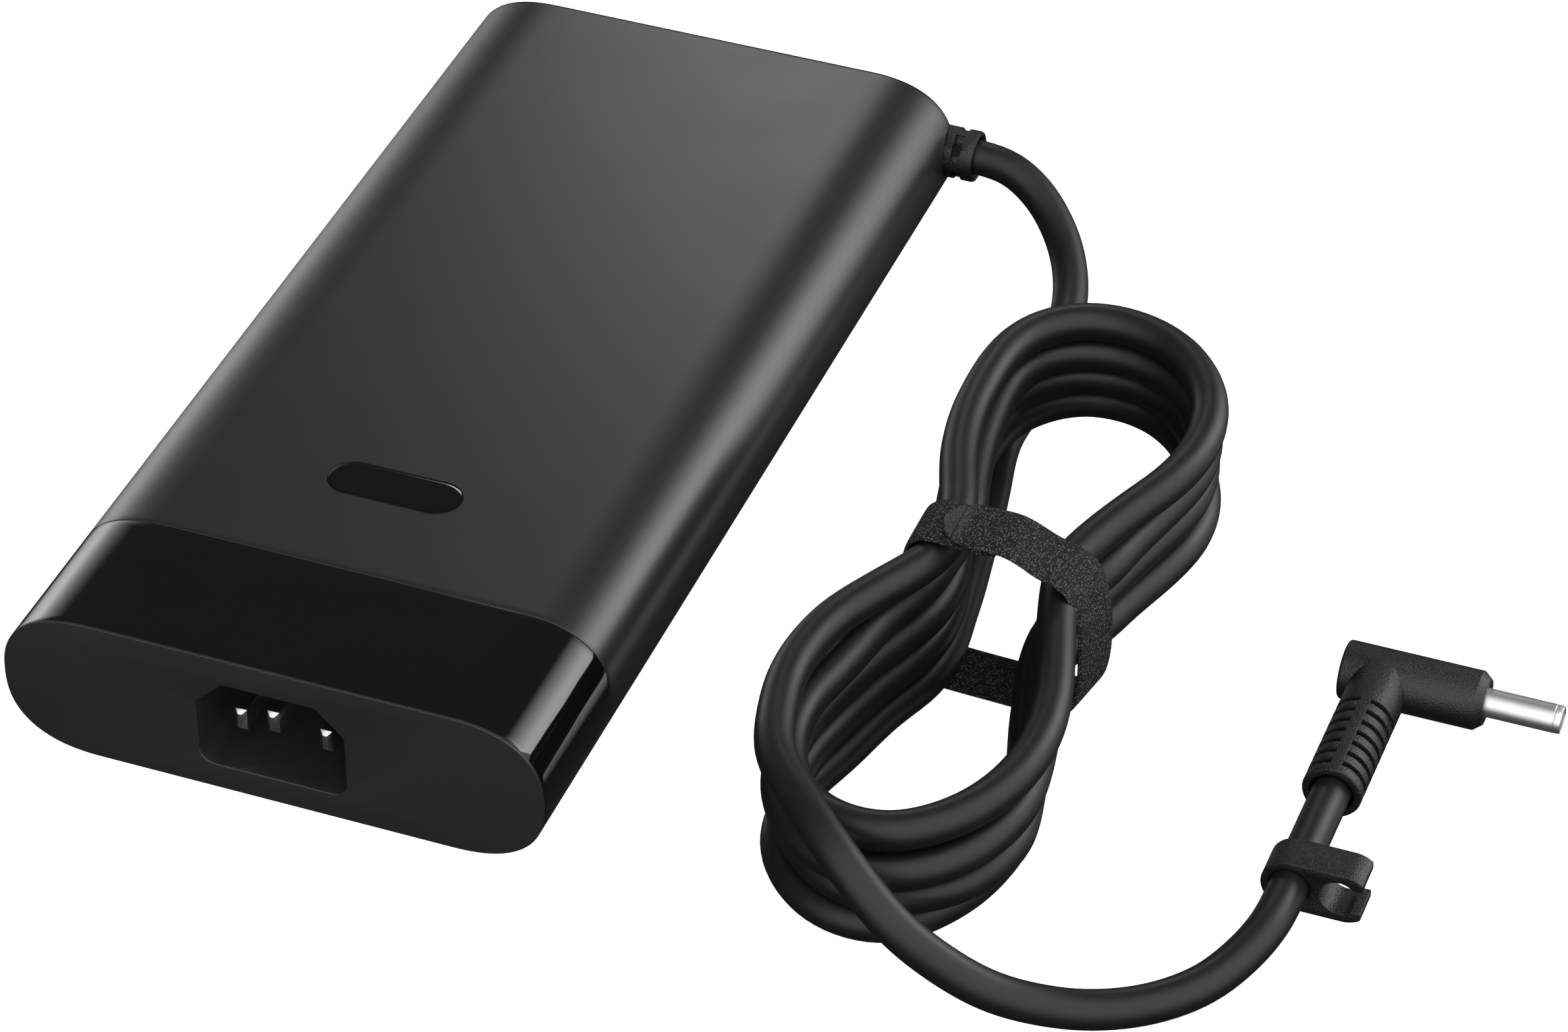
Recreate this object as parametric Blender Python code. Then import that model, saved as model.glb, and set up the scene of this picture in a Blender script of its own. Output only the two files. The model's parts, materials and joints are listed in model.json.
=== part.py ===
"""A slim laptop power adapter: an oval case with a mains inlet and its electronics, a coiled and strapped
output cord, a sliding cable clip and a right-angle barrel plug.

Lengths are in millimetres until new_object() turns them into metres. The origin is the case's bottom centre.
-Y faces the mains inlet, +X faces the cord and +Z is up.
"""

import math

import bmesh
import bpy
from mathutils import Vector
from mathutils.geometry import interpolate_bezier

MM = 0.001
GAP = 0.3

# Case: a flat-sided oval, extruded along Y. Its two rounded sides are superellipse halves.
CASE_WIDTH = 88.2
CASE_HEIGHT = 25.4
CASE_LENGTH = 186.2
SLEEVE_REACH = 180.3
SIDE_WIDTH = 15.56
SIDE_POWER = 2.43
CORNER_STEPS = 9
WALL = 1.8
FRONT = -CASE_LENGTH / 2
REAR = FRONT + SLEEVE_REACH
MIDDLE = CASE_HEIGHT / 2
BAND_LENGTH = 26.1
PLATE = 1.8
EDGE = 0.3
SPIGOT_INSET = WALL + GAP
SPIGOT_WALL = 1.2
DOME_RISE = CASE_LENGTH - SLEEVE_REACH - GAP
DOME_REACH = 7.2
DOME_STEPS = 6

# Trim
BADGE_LENGTH, BADGE_WIDTH, BADGE_DEPTH = 22.0, 8.0, 0.8
BADGE_PROUD = 0.05
BADGE_Y = FRONT + 47.0
LABEL_LENGTH, LABEL_WIDTH, LABEL_DEPTH = 70.0, 44.0, 0.6
LABEL_SUNK = 0.15

# Mains inlet
INLET_HALF = 12.1
INLET_LOW, INLET_HIGH = 4.6, 20.5
INLET_CHAMFER = 4.5
INLET_DEPTH = 17.0
INLET_WALL = 1.0
BLADE_THICK, BLADE_TALL, BLADE_TAPER = 2.0, 4.0, 0.65
BLADE_SPACING = 7.0
BLADE_Z, EARTH_Z = 10.6, 14.6
BLADE_TIP, EARTH_TIP = 4.0, 0.9
BLADE_TAIL = 24.5

# Circuit board and what stands on it
BOARD_LOW, BOARD_THICK = 4.3, 1.6
BOARD_FRONT, BOARD_REAR, BOARD_HALF = -66.0, 80.0, 34.0
MOUNTED = BOARD_LOW + BOARD_THICK + GAP
HEATSINK_TOP = 19.5

# Cord and its gland
CORD_RADIUS = 3.0
GLAND_Y = REAR - 0.6
GLAND_RADIUS = 4.65
GLAND_FLANGE_RADIUS = 4.95
GLAND_END = CASE_WIDTH / 2 + 4.8
NOTCH_RADIUS = 5.4
REST = CORD_RADIUS + 0.05

# Coil: the plan of one turn, from the pinched left side towards -Y and round
TURN = [
    (83.0, -25.9), (81.8, -34.5), (76.8, -43.5), (72.6, -54.5), (72.0, -67.5), (74.8, -78.0),
    (80.3, -85.4), (87.8, -89.2), (96.2, -88.2), (104.2, -82.5), (109.6, -73.4), (111.7, -63.5),
    (111.0, -53.2), (107.6, -43.6), (103.1, -34.5), (101.0, -25.9), (102.6, -18.1), (106.4, -10.6),
    (111.0, -1.8), (112.9, 6.5), (112.2, 15.1), (109.2, 22.2), (103.2, 28.1), (95.2, 31.1),
    (86.8, 30.7), (80.0, 26.2), (76.6, 17.6), (76.8, 3.0), (79.0, -8.9), (82.0, -17.9),
]
TURNS = 4
COIL_HALF = 4.4
COIL_TOP = 2 * CORD_RADIUS * (TURNS + 1)
TAIL_LEAVES = (0.17, 0.25)
TURN_RISES = (0.25, 0.80)

# Right-angle plug
PLUG_X, PLUG_Y, PLUG_Z = 148.8, -11.7, 4.7
PLUG_RADIUS = 4.65
PLUG_LEFT, PLUG_SHOULDER, PLUG_RIGHT = 143.2, 163.8, 165.1
PLUG_NOSE_RADIUS = 3.6
BARREL_RADIUS, BARREL_WALL, BARREL_TIP = 2.25, 0.35, 176.9
RELIEF_FRONT, RELIEF_REAR = -40.2, -20.5
RELIEF_SLOTS, RELIEF_PITCH, RELIEF_SLOT = 7, 2.53, 0.85
RELIEF_FIRST = -22.9
RELIEF_WEB = 2.2
RELIEF_CORE = 3.3

# Free stretches of the cord
LEAD_ROUTE = [
    (GLAND_END + GAP, GLAND_Y, MIDDLE), (52.5, 86.6, 12.5), (56.2, 86.0, 11.6), (61.4, 83.6, 9.4),
    (66.4, 78.8, 6.9), (69.7, 73.6, 5.0), (72.4, 66.5, 3.6), (74.2, 57.0, REST), (75.4, 47.0, REST),
    (76.4, 37.4, REST),
]
TAIL_ROUTE = [
    (93.0, -99.9, 24.7), (101.8, -102.5, 18.2), (109.4, -101.9, 12.0), (116.6, -99.6, 7.2),
    (124.4, -97.1, 4.0), (130.9, -94.8, REST), (137.3, -91.0, REST), (142.9, -84.4, 3.2),
    (146.7, -76.8, 3.8), (148.4, -72.0, 4.5), (PLUG_X, -68.0, PLUG_Z), (PLUG_X, -62.0, PLUG_Z),
    (PLUG_X, -51.0, PLUG_Z), (PLUG_X, RELIEF_FRONT - GAP, PLUG_Z),
]
TUBE_STEP = 8.0

# Hook-and-loop strap round the coil's waist, seen along Y
STRAP_FRONT, STRAP_REAR = -34.0, -22.0
STRAP_THICK = 1.0
STRAP_INNER = [
    (79.2, 3.0), (78.9, 10.0), (78.9, 20.0), (79.2, 27.0), (81.0, 30.0), (84.0, 30.7), (90.0, 30.3),
    (96.0, 29.0), (101.0, 26.6), (104.8, 22.6), (106.8, 17.0), (107.6, 10.5), (107.2, 5.0), (105.4, 1.9),
    (102.4, 1.15), (94.0, 1.1), (86.0, 1.1), (81.4, 1.2),
]

# Cable clip
CLIP_FRONT, CLIP_REAR = -62.2, -56.3
CLIP_RADIUS = 4.37
CLIP_BORE = CORD_RADIUS + 0.2
CLIP_END_X, CLIP_CUT_X = 157.0, 159.8
CLIP_SLOT_X, CLIP_SLOT_RADIUS = 156.3, 2.9
CLIP_MOUTH_HALF = 2.1


def clear_scene():
    for item in list(bpy.data.objects):
        bpy.data.objects.remove(item, do_unlink=True)


def material(name, colour, roughness, metallic=0.0):
    made = bpy.data.materials.new(name)
    made.use_nodes = True
    shader = made.node_tree.nodes["Principled BSDF"]
    shader.inputs["Base Color"].default_value = (*colour, 1.0)
    shader.inputs["Roughness"].default_value = roughness
    shader.inputs["Metallic"].default_value = metallic
    return made


def new_object(name, bm, finish, at=(0, 0, 0), hidden=False):
    """An object from a bmesh in millimetres, whose origin is at `at`, also in millimetres."""
    bmesh.ops.translate(bm, vec=-Vector(at), verts=bm.verts)
    bmesh.ops.scale(bm, vec=(MM, MM, MM), verts=bm.verts)
    bmesh.ops.recalc_face_normals(bm, faces=bm.faces)
    mesh = bpy.data.meshes.new(name)
    bm.to_mesh(mesh)
    bm.free()
    mesh.shade_smooth()
    mesh.set_sharp_from_angle(angle=math.radians(30))
    made = bpy.data.objects.new(name, mesh)
    made.location = Vector(at) * MM
    bpy.context.scene.collection.objects.link(made)
    if hidden:
        made.hide_render = True
        made.display_type = "WIRE"
    else:
        mesh.materials.append(finish)
    return made


def boolean(target, helper, operation="DIFFERENCE"):
    modifier = target.modifiers.new(f"{operation.lower()}_{helper.name}", "BOOLEAN")
    modifier.operation = operation
    modifier.object = helper


def helper_box(name, low, high):
    return new_object(name, box_mesh(low, high), None, hidden=True)


def helper_cylinder(name, start, end, radius, steps=32):
    return new_object(name, cylinder_mesh(start, end, radius, steps), None, hidden=True)


def box_mesh(low, high):
    bm = bmesh.new()
    bmesh.ops.create_cube(bm, size=1)
    low, high = Vector(low), Vector(high)
    bmesh.ops.scale(bm, vec=high - low, verts=bm.verts)
    bmesh.ops.translate(bm, vec=(low + high) / 2, verts=bm.verts)
    return bm


def cylinder_mesh(start, end, radius, steps):
    return turned_mesh([(radius, 0), (radius, (Vector(end) - Vector(start)).length)], start, end, steps)


def turned_mesh(profile, start, end, steps, closed=False):
    """Spins a profile of (radius, distance from start) about the line from start to end."""
    axis = (Vector(end) - Vector(start)).normalized()
    side = axis.orthogonal().normalized()
    points = [Vector(start) + axis * along + side * radius for radius, along in profile]
    if not closed:
        first, last = profile[0][1], profile[-1][1]
        points = [Vector(start) + axis * first, *points, Vector(start) + axis * last]
    bm = bmesh.new()
    verts = [bm.verts.new(point) for point in points]
    edges = [bm.edges.new(pair) for pair in zip(verts, verts[1:])]
    if closed:
        edges.append(bm.edges.new((verts[-1], verts[0])))
    bmesh.ops.spin(
        bm, geom=verts + edges, cent=start, axis=axis, angle=2 * math.pi, steps=steps, use_merge=True
    )
    bmesh.ops.remove_doubles(bm, verts=bm.verts, dist=0.001)
    return bm


def skin_mesh(rings, closed):
    """Quads between each ring of points and the next. The ends are joined if closed, and capped if not."""
    bm = bmesh.new()
    loops = [[bm.verts.new(point) for point in ring] for ring in rings]
    pairs = list(zip(loops, loops[1:]))
    if closed:
        pairs.append((loops[-1], loops[0]))
    for first, second in pairs:
        for i in range(len(first)):
            j = (i + 1) % len(first)
            bm.faces.new((first[i], first[j], second[j], second[i]))
    if not closed:
        bm.faces.new(loops[0])
        bm.faces.new(loops[-1])
    return bm


def prism_mesh(outline, low_y, high_y):
    """An outline of (x, z) points, extruded along Y."""
    return skin_mesh([[(x, y, z) for x, z in outline] for y in (low_y, high_y)], closed=False)


def box(name, size, centre, finish, chamfer=0.0):
    """A block standing on centre's z, which is the middle of its underside."""
    x, y, z = centre
    bm = box_mesh((x - size[0] / 2, y - size[1] / 2, z), (x + size[0] / 2, y + size[1] / 2, z + size[2]))
    if chamfer:
        bmesh.ops.bevel(bm, geom=bm.edges[:], offset=chamfer, segments=1, affect="EDGES")
    return new_object(name, bm, finish)


def can_profile(length, radius):
    """A capacitor's can along its axis: a chamfered foot, a crimped groove and a chamfered top."""
    groove = 0.12 * length
    soft = 0.6
    return [
        (radius - soft, 0), (radius, soft), (radius, groove - 0.8), (radius - 0.7, groove),
        (radius, groove + 0.8), (radius, length - soft), (radius - soft, length),
    ]


def case_ring(inset, y):
    """The case's outline at y, moved in by inset."""
    flat = CASE_WIDTH / 2 - SIDE_WIDTH
    wide, tall = SIDE_WIDTH - inset, CASE_HEIGHT / 2 - inset
    corner = []
    for step in range(CORNER_STEPS + 1):
        angle = math.pi / 2 * step / CORNER_STEPS
        across = max(math.cos(angle), 0.0) ** (2 / SIDE_POWER)
        up = math.sin(angle) ** (2 / SIDE_POWER)
        corner.append((flat + wide * across, tall * up))
    upper = corner + [(-x, z) for x, z in reversed(corner)]
    lower = [(-x, -z) for x, z in corner[1:]] + [(x, -z) for x, z in reversed(corner[1:])]
    return [(x, y, MIDDLE + z) for x, z in upper + lower]


def case_part(name, profile, finish, closed):
    return new_object(name, skin_mesh([case_ring(inset, y) for inset, y in profile], closed), finish)


def pill(length, width, steps=12):
    """A pill's outline, as (x, y) about its middle."""
    straight = length / 2 - width / 2
    points = []
    for side in (1, -1):
        for step in range(steps + 1):
            angle = -math.pi / 2 + math.pi * step / steps
            across, along = width / 2 * math.cos(angle), width / 2 * math.sin(angle)
            points.append((side * (straight + across), side * along))
    return points


def slab_mesh(outline, low_z, high_z):
    """An outline of (x, y) points between two heights."""
    return skin_mesh([[(x, y, z) for x, y in outline] for z in (low_z, high_z)], closed=False)


def inlet_outline(grow):
    """The mains inlet's opening as (x, z), with chamfered top corners, grown by grow."""
    half, low, high = INLET_HALF + grow, INLET_LOW - grow, INLET_HIGH + grow
    cut = INLET_CHAMFER + grow * (2 - math.sqrt(2))
    soft = 1.5
    return [
        (-half + soft, low), (half - soft, low), (half, low + soft), (half, high - cut),
        (half - cut, high), (-half + cut, high), (-half, high - cut), (-half, low + soft),
    ]


def through(points, closed=False, steps=4):
    """A smooth curve through the points: Catmull-Rom spans, drawn as Bezier spans."""
    points = [Vector(point) for point in points]
    count = len(points)
    spans = count if closed else count - 1

    def at(index):
        return points[index % count] if closed else points[min(max(index, 0), count - 1)]

    curve = []
    for i in range(spans):
        before, start, end, after = at(i - 1), at(i), at(i + 1), at(i + 2)
        leave, arrive = start + (end - before) / 6, end - (after - start) / 6
        curve.extend(interpolate_bezier(start, leave, arrive, end, steps + 1)[:-1])
    if not closed:
        curve.append(points[-1])
    return curve


def spaced(points, step):
    """Points about a step apart along the line through the points, with both ends kept."""
    lengths = [0.0]
    for start, end in zip(points, points[1:]):
        lengths.append(lengths[-1] + (end - start).length)
    count = max(round(lengths[-1] / step), 1)
    found = []
    index = 0
    for i in range(count + 1):
        wanted = lengths[-1] * i / count
        while index < len(points) - 2 and lengths[index + 1] < wanted:
            index += 1
        share = (wanted - lengths[index]) / (lengths[index + 1] - lengths[index])
        found.append(points[index].lerp(points[index + 1], min(share, 1.0)))
    return found


def tube(name, route, radius, finish, resolution=2):
    curve = bpy.data.curves.new(name, "CURVE")
    curve.dimensions = "3D"
    curve.bevel_depth = radius * MM
    curve.bevel_resolution = resolution
    curve.use_fill_caps = True
    spline = curve.splines.new("POLY")
    spline.points.add(len(route) - 1)
    for point, place in zip(spline.points, route):
        point.co = (*(Vector(place) * MM), 1.0)
    curve.materials.append(finish)
    made = bpy.data.objects.new(name, curve)
    bpy.context.scene.collection.objects.link(made)
    return made


def make_case(finish):
    seam = FRONT + BAND_LENGTH
    sleeve = case_part(
        "body_sleeve", [(0, seam + GAP / 2), (0, REAR), (WALL, REAR), (WALL, seam + GAP / 2)],
        finish["satin_case"], closed=True,
    )
    spigot_end = seam + 6.0
    band_start = FRONT + PLATE + GAP
    case_part(
        "front_band",
        [
            (0, band_start), (0, seam - GAP / 2), (SPIGOT_INSET, seam - GAP / 2), (SPIGOT_INSET, spigot_end),
            (SPIGOT_INSET + SPIGOT_WALL, spigot_end), (SPIGOT_INSET + SPIGOT_WALL, seam - 2.5),
            (WALL, seam - 3.5), (WALL, band_start),
        ],
        finish["gloss_band"], closed=True,
    )
    back = FRONT + PLATE
    plate = case_part(
        "front_plate",
        [
            (EDGE, FRONT), (0, FRONT + EDGE), (0, back), (SPIGOT_INSET, back), (SPIGOT_INSET, back + 4.0),
            (SPIGOT_INSET + SPIGOT_WALL, back + 4.0), (SPIGOT_INSET + SPIGOT_WALL, back),
        ],
        finish["front_satin"], closed=False,
    )
    mouth = new_object(
        "inlet_mouth_cutter", prism_mesh(inlet_outline(0), FRONT - 2, back + 6), None, hidden=True
    )
    boolean(plate, mouth)
    cap_start = REAR + GAP
    dome = [
        (DOME_REACH * step / DOME_STEPS, cap_start + DOME_RISE * math.sin(math.pi / 2 * step / DOME_STEPS))
        for step in range(DOME_STEPS + 1)
    ]
    inner = [(inset + WALL, y - WALL) for inset, y in dome[1:5]]
    cap = case_part(
        "rear_cover",
        [*reversed(inner), (SPIGOT_INSET + SPIGOT_WALL, REAR - 5.0), (SPIGOT_INSET, REAR - 5.0),
         (SPIGOT_INSET, cap_start), *dome],
        finish["satin_case"], closed=False,
    )
    notch = helper_cylinder(
        "gland_notch_cutter", (CASE_WIDTH / 2 - 8, GLAND_Y, MIDDLE), (CASE_WIDTH / 2 + 4, GLAND_Y, MIDDLE),
        NOTCH_RADIUS,
    )
    boolean(sleeve, notch)
    boolean(cap, notch)
    low, high = gland_key_box()
    low, high = low - Vector((1, 1, GAP)), high + Vector((1, GAP, GAP))
    boolean(cap, helper_box("gland_key_pocket_cutter", low, high))
    return sleeve


def gland_key_box():
    """The block inside the case that keeps the gland from turning or pulling out."""
    inner, wall = CASE_WIDTH / 2 - 5.8, CASE_WIDTH / 2 - 3.0
    return Vector((inner, REAR - 5.4, MIDDLE - 5.2)), Vector((wall, REAR + 0.9, MIDDLE + 5.2))


def make_trim(sleeve, finish):
    top = CASE_HEIGHT
    outline = [(x, BADGE_Y + y) for x, y in pill(BADGE_LENGTH, BADGE_WIDTH)]
    pocket = [(x, BADGE_Y + y) for x, y in pill(BADGE_LENGTH + 2 * GAP, BADGE_WIDTH + 2 * GAP)]
    boolean(sleeve, new_object(
        "badge_pocket_cutter", slab_mesh(pocket, top - BADGE_DEPTH - GAP, top + 1), None, hidden=True
    ))
    new_object("badge_inlay", slab_mesh(outline, top - BADGE_DEPTH, top + BADGE_PROUD), finish["gloss_band"])
    high = Vector((LABEL_WIDTH / 2, LABEL_LENGTH / 2, 0))
    low = -high
    pocket_low, pocket_high = low + Vector((-GAP, -GAP, -1)), high + Vector((GAP, GAP, LABEL_DEPTH + GAP))
    boolean(sleeve, helper_box("label_pocket_cutter", pocket_low, pocket_high))
    label = box_mesh(low + Vector((0, 0, LABEL_SUNK)), high + Vector((0, 0, LABEL_DEPTH)))
    new_object("rating_label", label, finish["label"])


def make_inlet(finish):
    face = FRONT + PLATE + GAP
    floor = FRONT + INLET_DEPTH
    cup = prism_mesh(inlet_outline(INLET_WALL), face, floor + INLET_WALL)
    housing = new_object("inlet_housing", cup, finish["front_satin"])
    boolean(housing, new_object(
        "inlet_recess_cutter", prism_mesh(inlet_outline(0), face - 2, floor), None, hidden=True
    ))
    blades = (
        ("line_blade", -BLADE_SPACING, BLADE_Z, BLADE_TIP),
        ("neutral_blade", BLADE_SPACING, BLADE_Z, BLADE_TIP),
        ("earth_blade", 0.0, EARTH_Z, EARTH_TIP),
    )
    for name, x, z, tip in blades:
        half_x, half_z = BLADE_THICK / 2, BLADE_TALL / 2
        boolean(housing, helper_box(
            f"{name}_slot_cutter",
            (x - half_x - GAP, floor - 1, z - half_z - GAP), (x + half_x + GAP, floor + 3, z + half_z + GAP),
        ))
        start = FRONT + tip
        rings = []
        for shrink, y in ((BLADE_TAPER, start), (0, start + BLADE_TAPER), (0, FRONT + BLADE_TAIL)):
            right, high = half_x - shrink, half_z - shrink
            rings.append([(x + a * right, y, z + b * high) for a, b in ((-1, -1), (1, -1), (1, 1), (-1, 1))])
        new_object(name, skin_mesh(rings, closed=False), finish["plated_blade"])


def core_half(name, centre, size, leg, back, towards, finish):
    """Half of a ferrite core: a back across X with three legs that point along +Y or -Y to the middle."""
    x, y, z = centre
    wide, deep, tall = size
    legs = ((-wide / 2, -wide / 2 + leg), (-leg, leg), (wide / 2 - leg, wide / 2))
    outline = []
    base, tip = y - towards * deep / 2, y - towards * GAP / 2
    inner = base + towards * back
    for low, high in legs:
        outline += [(x + low, inner), (x + low, tip), (x + high, tip), (x + high, inner)]
    outline = [(x - wide / 2, base), *outline[1:-1], (x + wide / 2, base)]
    return new_object(name, slab_mesh(outline, z - tall / 2, z + tall / 2), finish)


def winding(name, centre, size, window, depth, finish):
    """A wound block round a core's middle leg: a rectangle with a rectangular way through along Y."""
    x, y, z = centre
    rings = []
    for (wide, tall), at_y in (
        (size, y - depth / 2), (size, y + depth / 2), (window, y + depth / 2), (window, y - depth / 2)
    ):
        soft = 1.6 if (wide, tall) == size else 0.4
        a, b = wide / 2, tall / 2
        outline = (
            (-a + soft, -b), (a - soft, -b), (a, -b + soft), (a, b - soft),
            (a - soft, b), (-a + soft, b), (-a, b - soft), (-a, -b + soft),
        )
        rings.append([(x + p, at_y, z + q) for p, q in outline])
    return new_object(name, skin_mesh(rings, closed=True), finish)


def wound_ring(name, centre, inner, outer, height, finish):
    """A ring core that lies flat: a turned rectangle with broken edges."""
    x, y, z = centre
    profile = [
        (inner, 0.5), (inner + 0.5, 0), (outer - 0.5, 0), (outer, 0.5),
        (outer, height - 0.5), (outer - 0.5, height), (inner + 0.5, height), (inner, height - 0.5),
    ]
    return new_object(name, turned_mesh(profile, (x, y, z), (x, y, z + height), 28, closed=True), finish)


def part_winding(name, centre, inner, outer, height, first, last, finish):
    """Copper wound round part of a ring core: a hollow sleeve along the ring from one angle to another."""
    x, y, z = centre
    wire = 1.3
    steps = round((last - first) / 14)
    rings = []
    for step in range(steps + 1):
        angle = math.radians(first + (last - first) * step / steps)
        towards = Vector((math.cos(angle), math.sin(angle), 0))
        section = (
            (inner - GAP - wire, -GAP - wire), (outer + GAP + wire, -GAP - wire),
            (outer + GAP + wire, height + GAP + wire), (inner - GAP - wire, height + GAP + wire),
        )
        hole = (
            (inner - GAP, -GAP), (outer + GAP, -GAP),
            (outer + GAP, height + GAP), (inner - GAP, height + GAP),
        )
        place = Vector((x, y, z))
        pair = [[place + towards * r + Vector((0, 0, h)) for r, h in loop] for loop in (section, hole)]
        rings.append(pair)
    bm = bmesh.new()
    loops = [[[bm.verts.new(point) for point in loop] for loop in pair] for pair in rings]
    for near, far in zip(loops, loops[1:]):
        for kind in (0, 1):
            for i in range(4):
                j = (i + 1) % 4
                bm.faces.new((near[kind][i], near[kind][j], far[kind][j], far[kind][i]))
    for outer_loop, inner_loop in (loops[0], loops[-1]):
        for i in range(4):
            j = (i + 1) % 4
            bm.faces.new((outer_loop[i], outer_loop[j], inner_loop[j], inner_loop[i]))
    return new_object(name, bm, finish)


def upright_package(name, x, y, finish, facing="X"):
    """A power transistor's moulded body, standing on its short edge and facing along X or Y."""
    wide, thick, tall = 10.0, 4.6, 13.5
    size = (thick, wide, tall) if facing == "X" else (wide, thick, tall)
    return box(name, size, (x, y, MOUNTED), finish, chamfer=0.4)


def disc_mesh(place, radius, thick):
    """A dipped disc that stands on its rim on the board, its thickness along Y."""
    start = Vector((*place, MOUNTED + radius))
    soft = 0.8
    profile = [(radius - soft, 0), (radius, soft), (radius, thick - soft), (radius - soft, thick)]
    return turned_mesh(profile, start, start + Vector((0, thick, 0)), 20)


def make_board(finish):
    outline = [
        (-BOARD_HALF, BOARD_FRONT), (BOARD_HALF, BOARD_FRONT), (BOARD_HALF, BOARD_REAR - 8),
        (BOARD_HALF - 8, BOARD_REAR), (-BOARD_HALF + 8, BOARD_REAR), (-BOARD_HALF, BOARD_REAR - 8),
    ]
    new_object("main_board", slab_mesh(outline, BOARD_LOW, BOARD_LOW + BOARD_THICK), finish["board"])
    box("insulating_sheet", (54.0, 136.0, 0.4), (0, 11.0, 3.3), finish["film"])
    box("lower_heat_spreader", (52.0, 132.0, 0.6), (0, 11.0, 2.3), finish["aluminium"])
    box("upper_heat_spreader", (52.0, 132.0, 0.6), (0, 11.0, 22.5), finish["aluminium"])


def make_mains_side(finish):
    fuse = [(2.6, 0), (2.6, 4.0), (2.3, 4.2), (2.3, 15.8), (2.6, 16.0), (2.6, 20.0)]
    start = Vector((-31.0, -64.0, MOUNTED + 2.6))
    new_object("input_fuse", turned_mesh(fuse, start, start + Vector((0, 20, 0)), 16), finish["ceramic"])
    new_object("varistor", disc_mesh((-22.0, -60.0), 6.0, 4.2), finish["blue_lacquer"])
    box("x_capacitor", (18.0, 8.5, 14.5), (-4.0, -58.0, MOUNTED), finish["yellow_box"], chamfer=0.5)
    choke = (21.0, -53.0, MOUNTED + 2.2)
    wound_ring("filter_choke_core", choke, 4.6, 9.4, 8.5, finish["ferrite"])
    for number, first in enumerate((20, 200), start=1):
        part_winding(
            f"filter_choke_winding_{number}", choke, 4.6, 9.4, 8.5, first, first + 140, finish["copper"]
        )
    box("bridge_rectifier", (22.0, 4.6, 15.0), (-23.0, -39.0, MOUNTED), finish["black_epoxy"], chamfer=0.5)


def make_primary(finish):
    boost = (15.0, -25.0, MOUNTED + 8.0)
    for name, towards in (("boost_core_front", 1), ("boost_core_rear", -1)):
        core_half(name, boost, (32.0, 26.0, 10.0), 5.0, 5.0, towards, finish["ferrite"])
    winding("boost_winding", boost, (21.0, 15.4), (10.8, 10.8), 15.2, finish["copper"])
    for number, x in enumerate((-27.6, -11.2), start=1):
        start = Vector((x, -33.0, MOUNTED + 7.8))
        new_object(
            f"bulk_capacitor_{number}",
            turned_mesh(can_profile(38.0, 7.7), start, start + Vector((0, 38, 0)), 24), finish["can_sleeve"],
        )
    left, middle, right = 29.0, 31.0, 34.0
    plate = [
        (left, MOUNTED), (right, MOUNTED), (right, MOUNTED + 2),
        (middle, MOUNTED + 2), (middle, HEATSINK_TOP), (left, HEATSINK_TOP),
    ]
    new_object("primary_heatsink", prism_mesh(plate, -8.0, 30.0), finish["aluminium"])
    for number, y in enumerate((0.0, 14.0), start=1):
        upright_package(f"primary_switch_{number}", 26.3, y, finish["black_epoxy"])


def make_secondary(finish):
    main = (5.0, 27.0, MOUNTED + 8.0)
    for name, towards in (("transformer_core_front", 1), ("transformer_core_rear", -1)):
        core_half(name, main, (36.0, 30.0, 10.0), 5.5, 5.5, towards, finish["ferrite"])
    winding("transformer_winding", main, (24.0, 15.4), (11.8, 10.8), 18.2, finish["tape"])
    box("resonant_capacitor", (13.0, 6.0, 12.0), (-24.0, 12.0, MOUNTED), finish["yellow_box"], chamfer=0.5)
    box("control_board", (1.0, 24.0, 14.0), (-32.5, 34.0, MOUNTED), finish["board"])
    box("optocoupler", (6.5, 4.6, 3.5), (-24.0, 24.0, MOUNTED), finish["black_epoxy"], chamfer=0.3)
    new_object("y_capacitor", disc_mesh((-26.0, 36.0), 5.0, 3.8), finish["blue_lacquer"])
    plate = box_mesh((-16.0, 46.0, MOUNTED), (26.0, 48.0, HEATSINK_TOP))
    new_object("secondary_heatsink", plate, finish["aluminium"])
    for number, x in enumerate((-4.0, 14.0), start=1):
        upright_package(f"output_rectifier_{number}", x, 50.8, finish["black_epoxy"], facing="Y")
    for number, x in enumerate((-24.0, -13.5, -3.0), start=1):
        start = Vector((x, 64.0, MOUNTED))
        new_object(
            f"output_capacitor_{number}",
            turned_mesh(can_profile(15.0, 4.5), start, start + Vector((0, 0, 15)), 20), finish["can_sleeve"],
        )
    choke = (15.0, 65.5, MOUNTED + 2.2)
    wound_ring("output_choke_core", choke, 3.8, 7.4, 6.5, finish["ferrite"])
    part_winding("output_choke_winding", choke, 3.8, 7.4, 6.5, -70, 210, finish["copper"])


def make_wires(finish):
    blade_end = FRONT + BLADE_TAIL + GAP
    for name, x, landing in (("line_wire", -BLADE_SPACING, -16.0), ("neutral_wire", BLADE_SPACING, 8.4)):
        route = [
            (x, blade_end, BLADE_Z), (x, blade_end + 1.8, BLADE_Z),
            (landing, -63.2, 8.6), (landing, -62.8, 7.4),
        ]
        tube(name, route, 0.9, finish["wire_black"] if x < 0 else finish["wire_white"])
    gland_inner = CASE_WIDTH / 2 - 5.8 - GAP
    for name, z, landing in (("output_wire", MIDDLE + 2.2, 30.0), ("return_wire", MIDDLE - 2.2, 24.5)):
        route = [
            (gland_inner, 85.0, z), (35.0, 84.0, z), (landing, 80.0, z - 1.0), (landing, 75.0, MOUNTED + 1.2)
        ]
        tube(name, spaced(through(route), 4.0), 1.0, finish["wire_black"])


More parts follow.
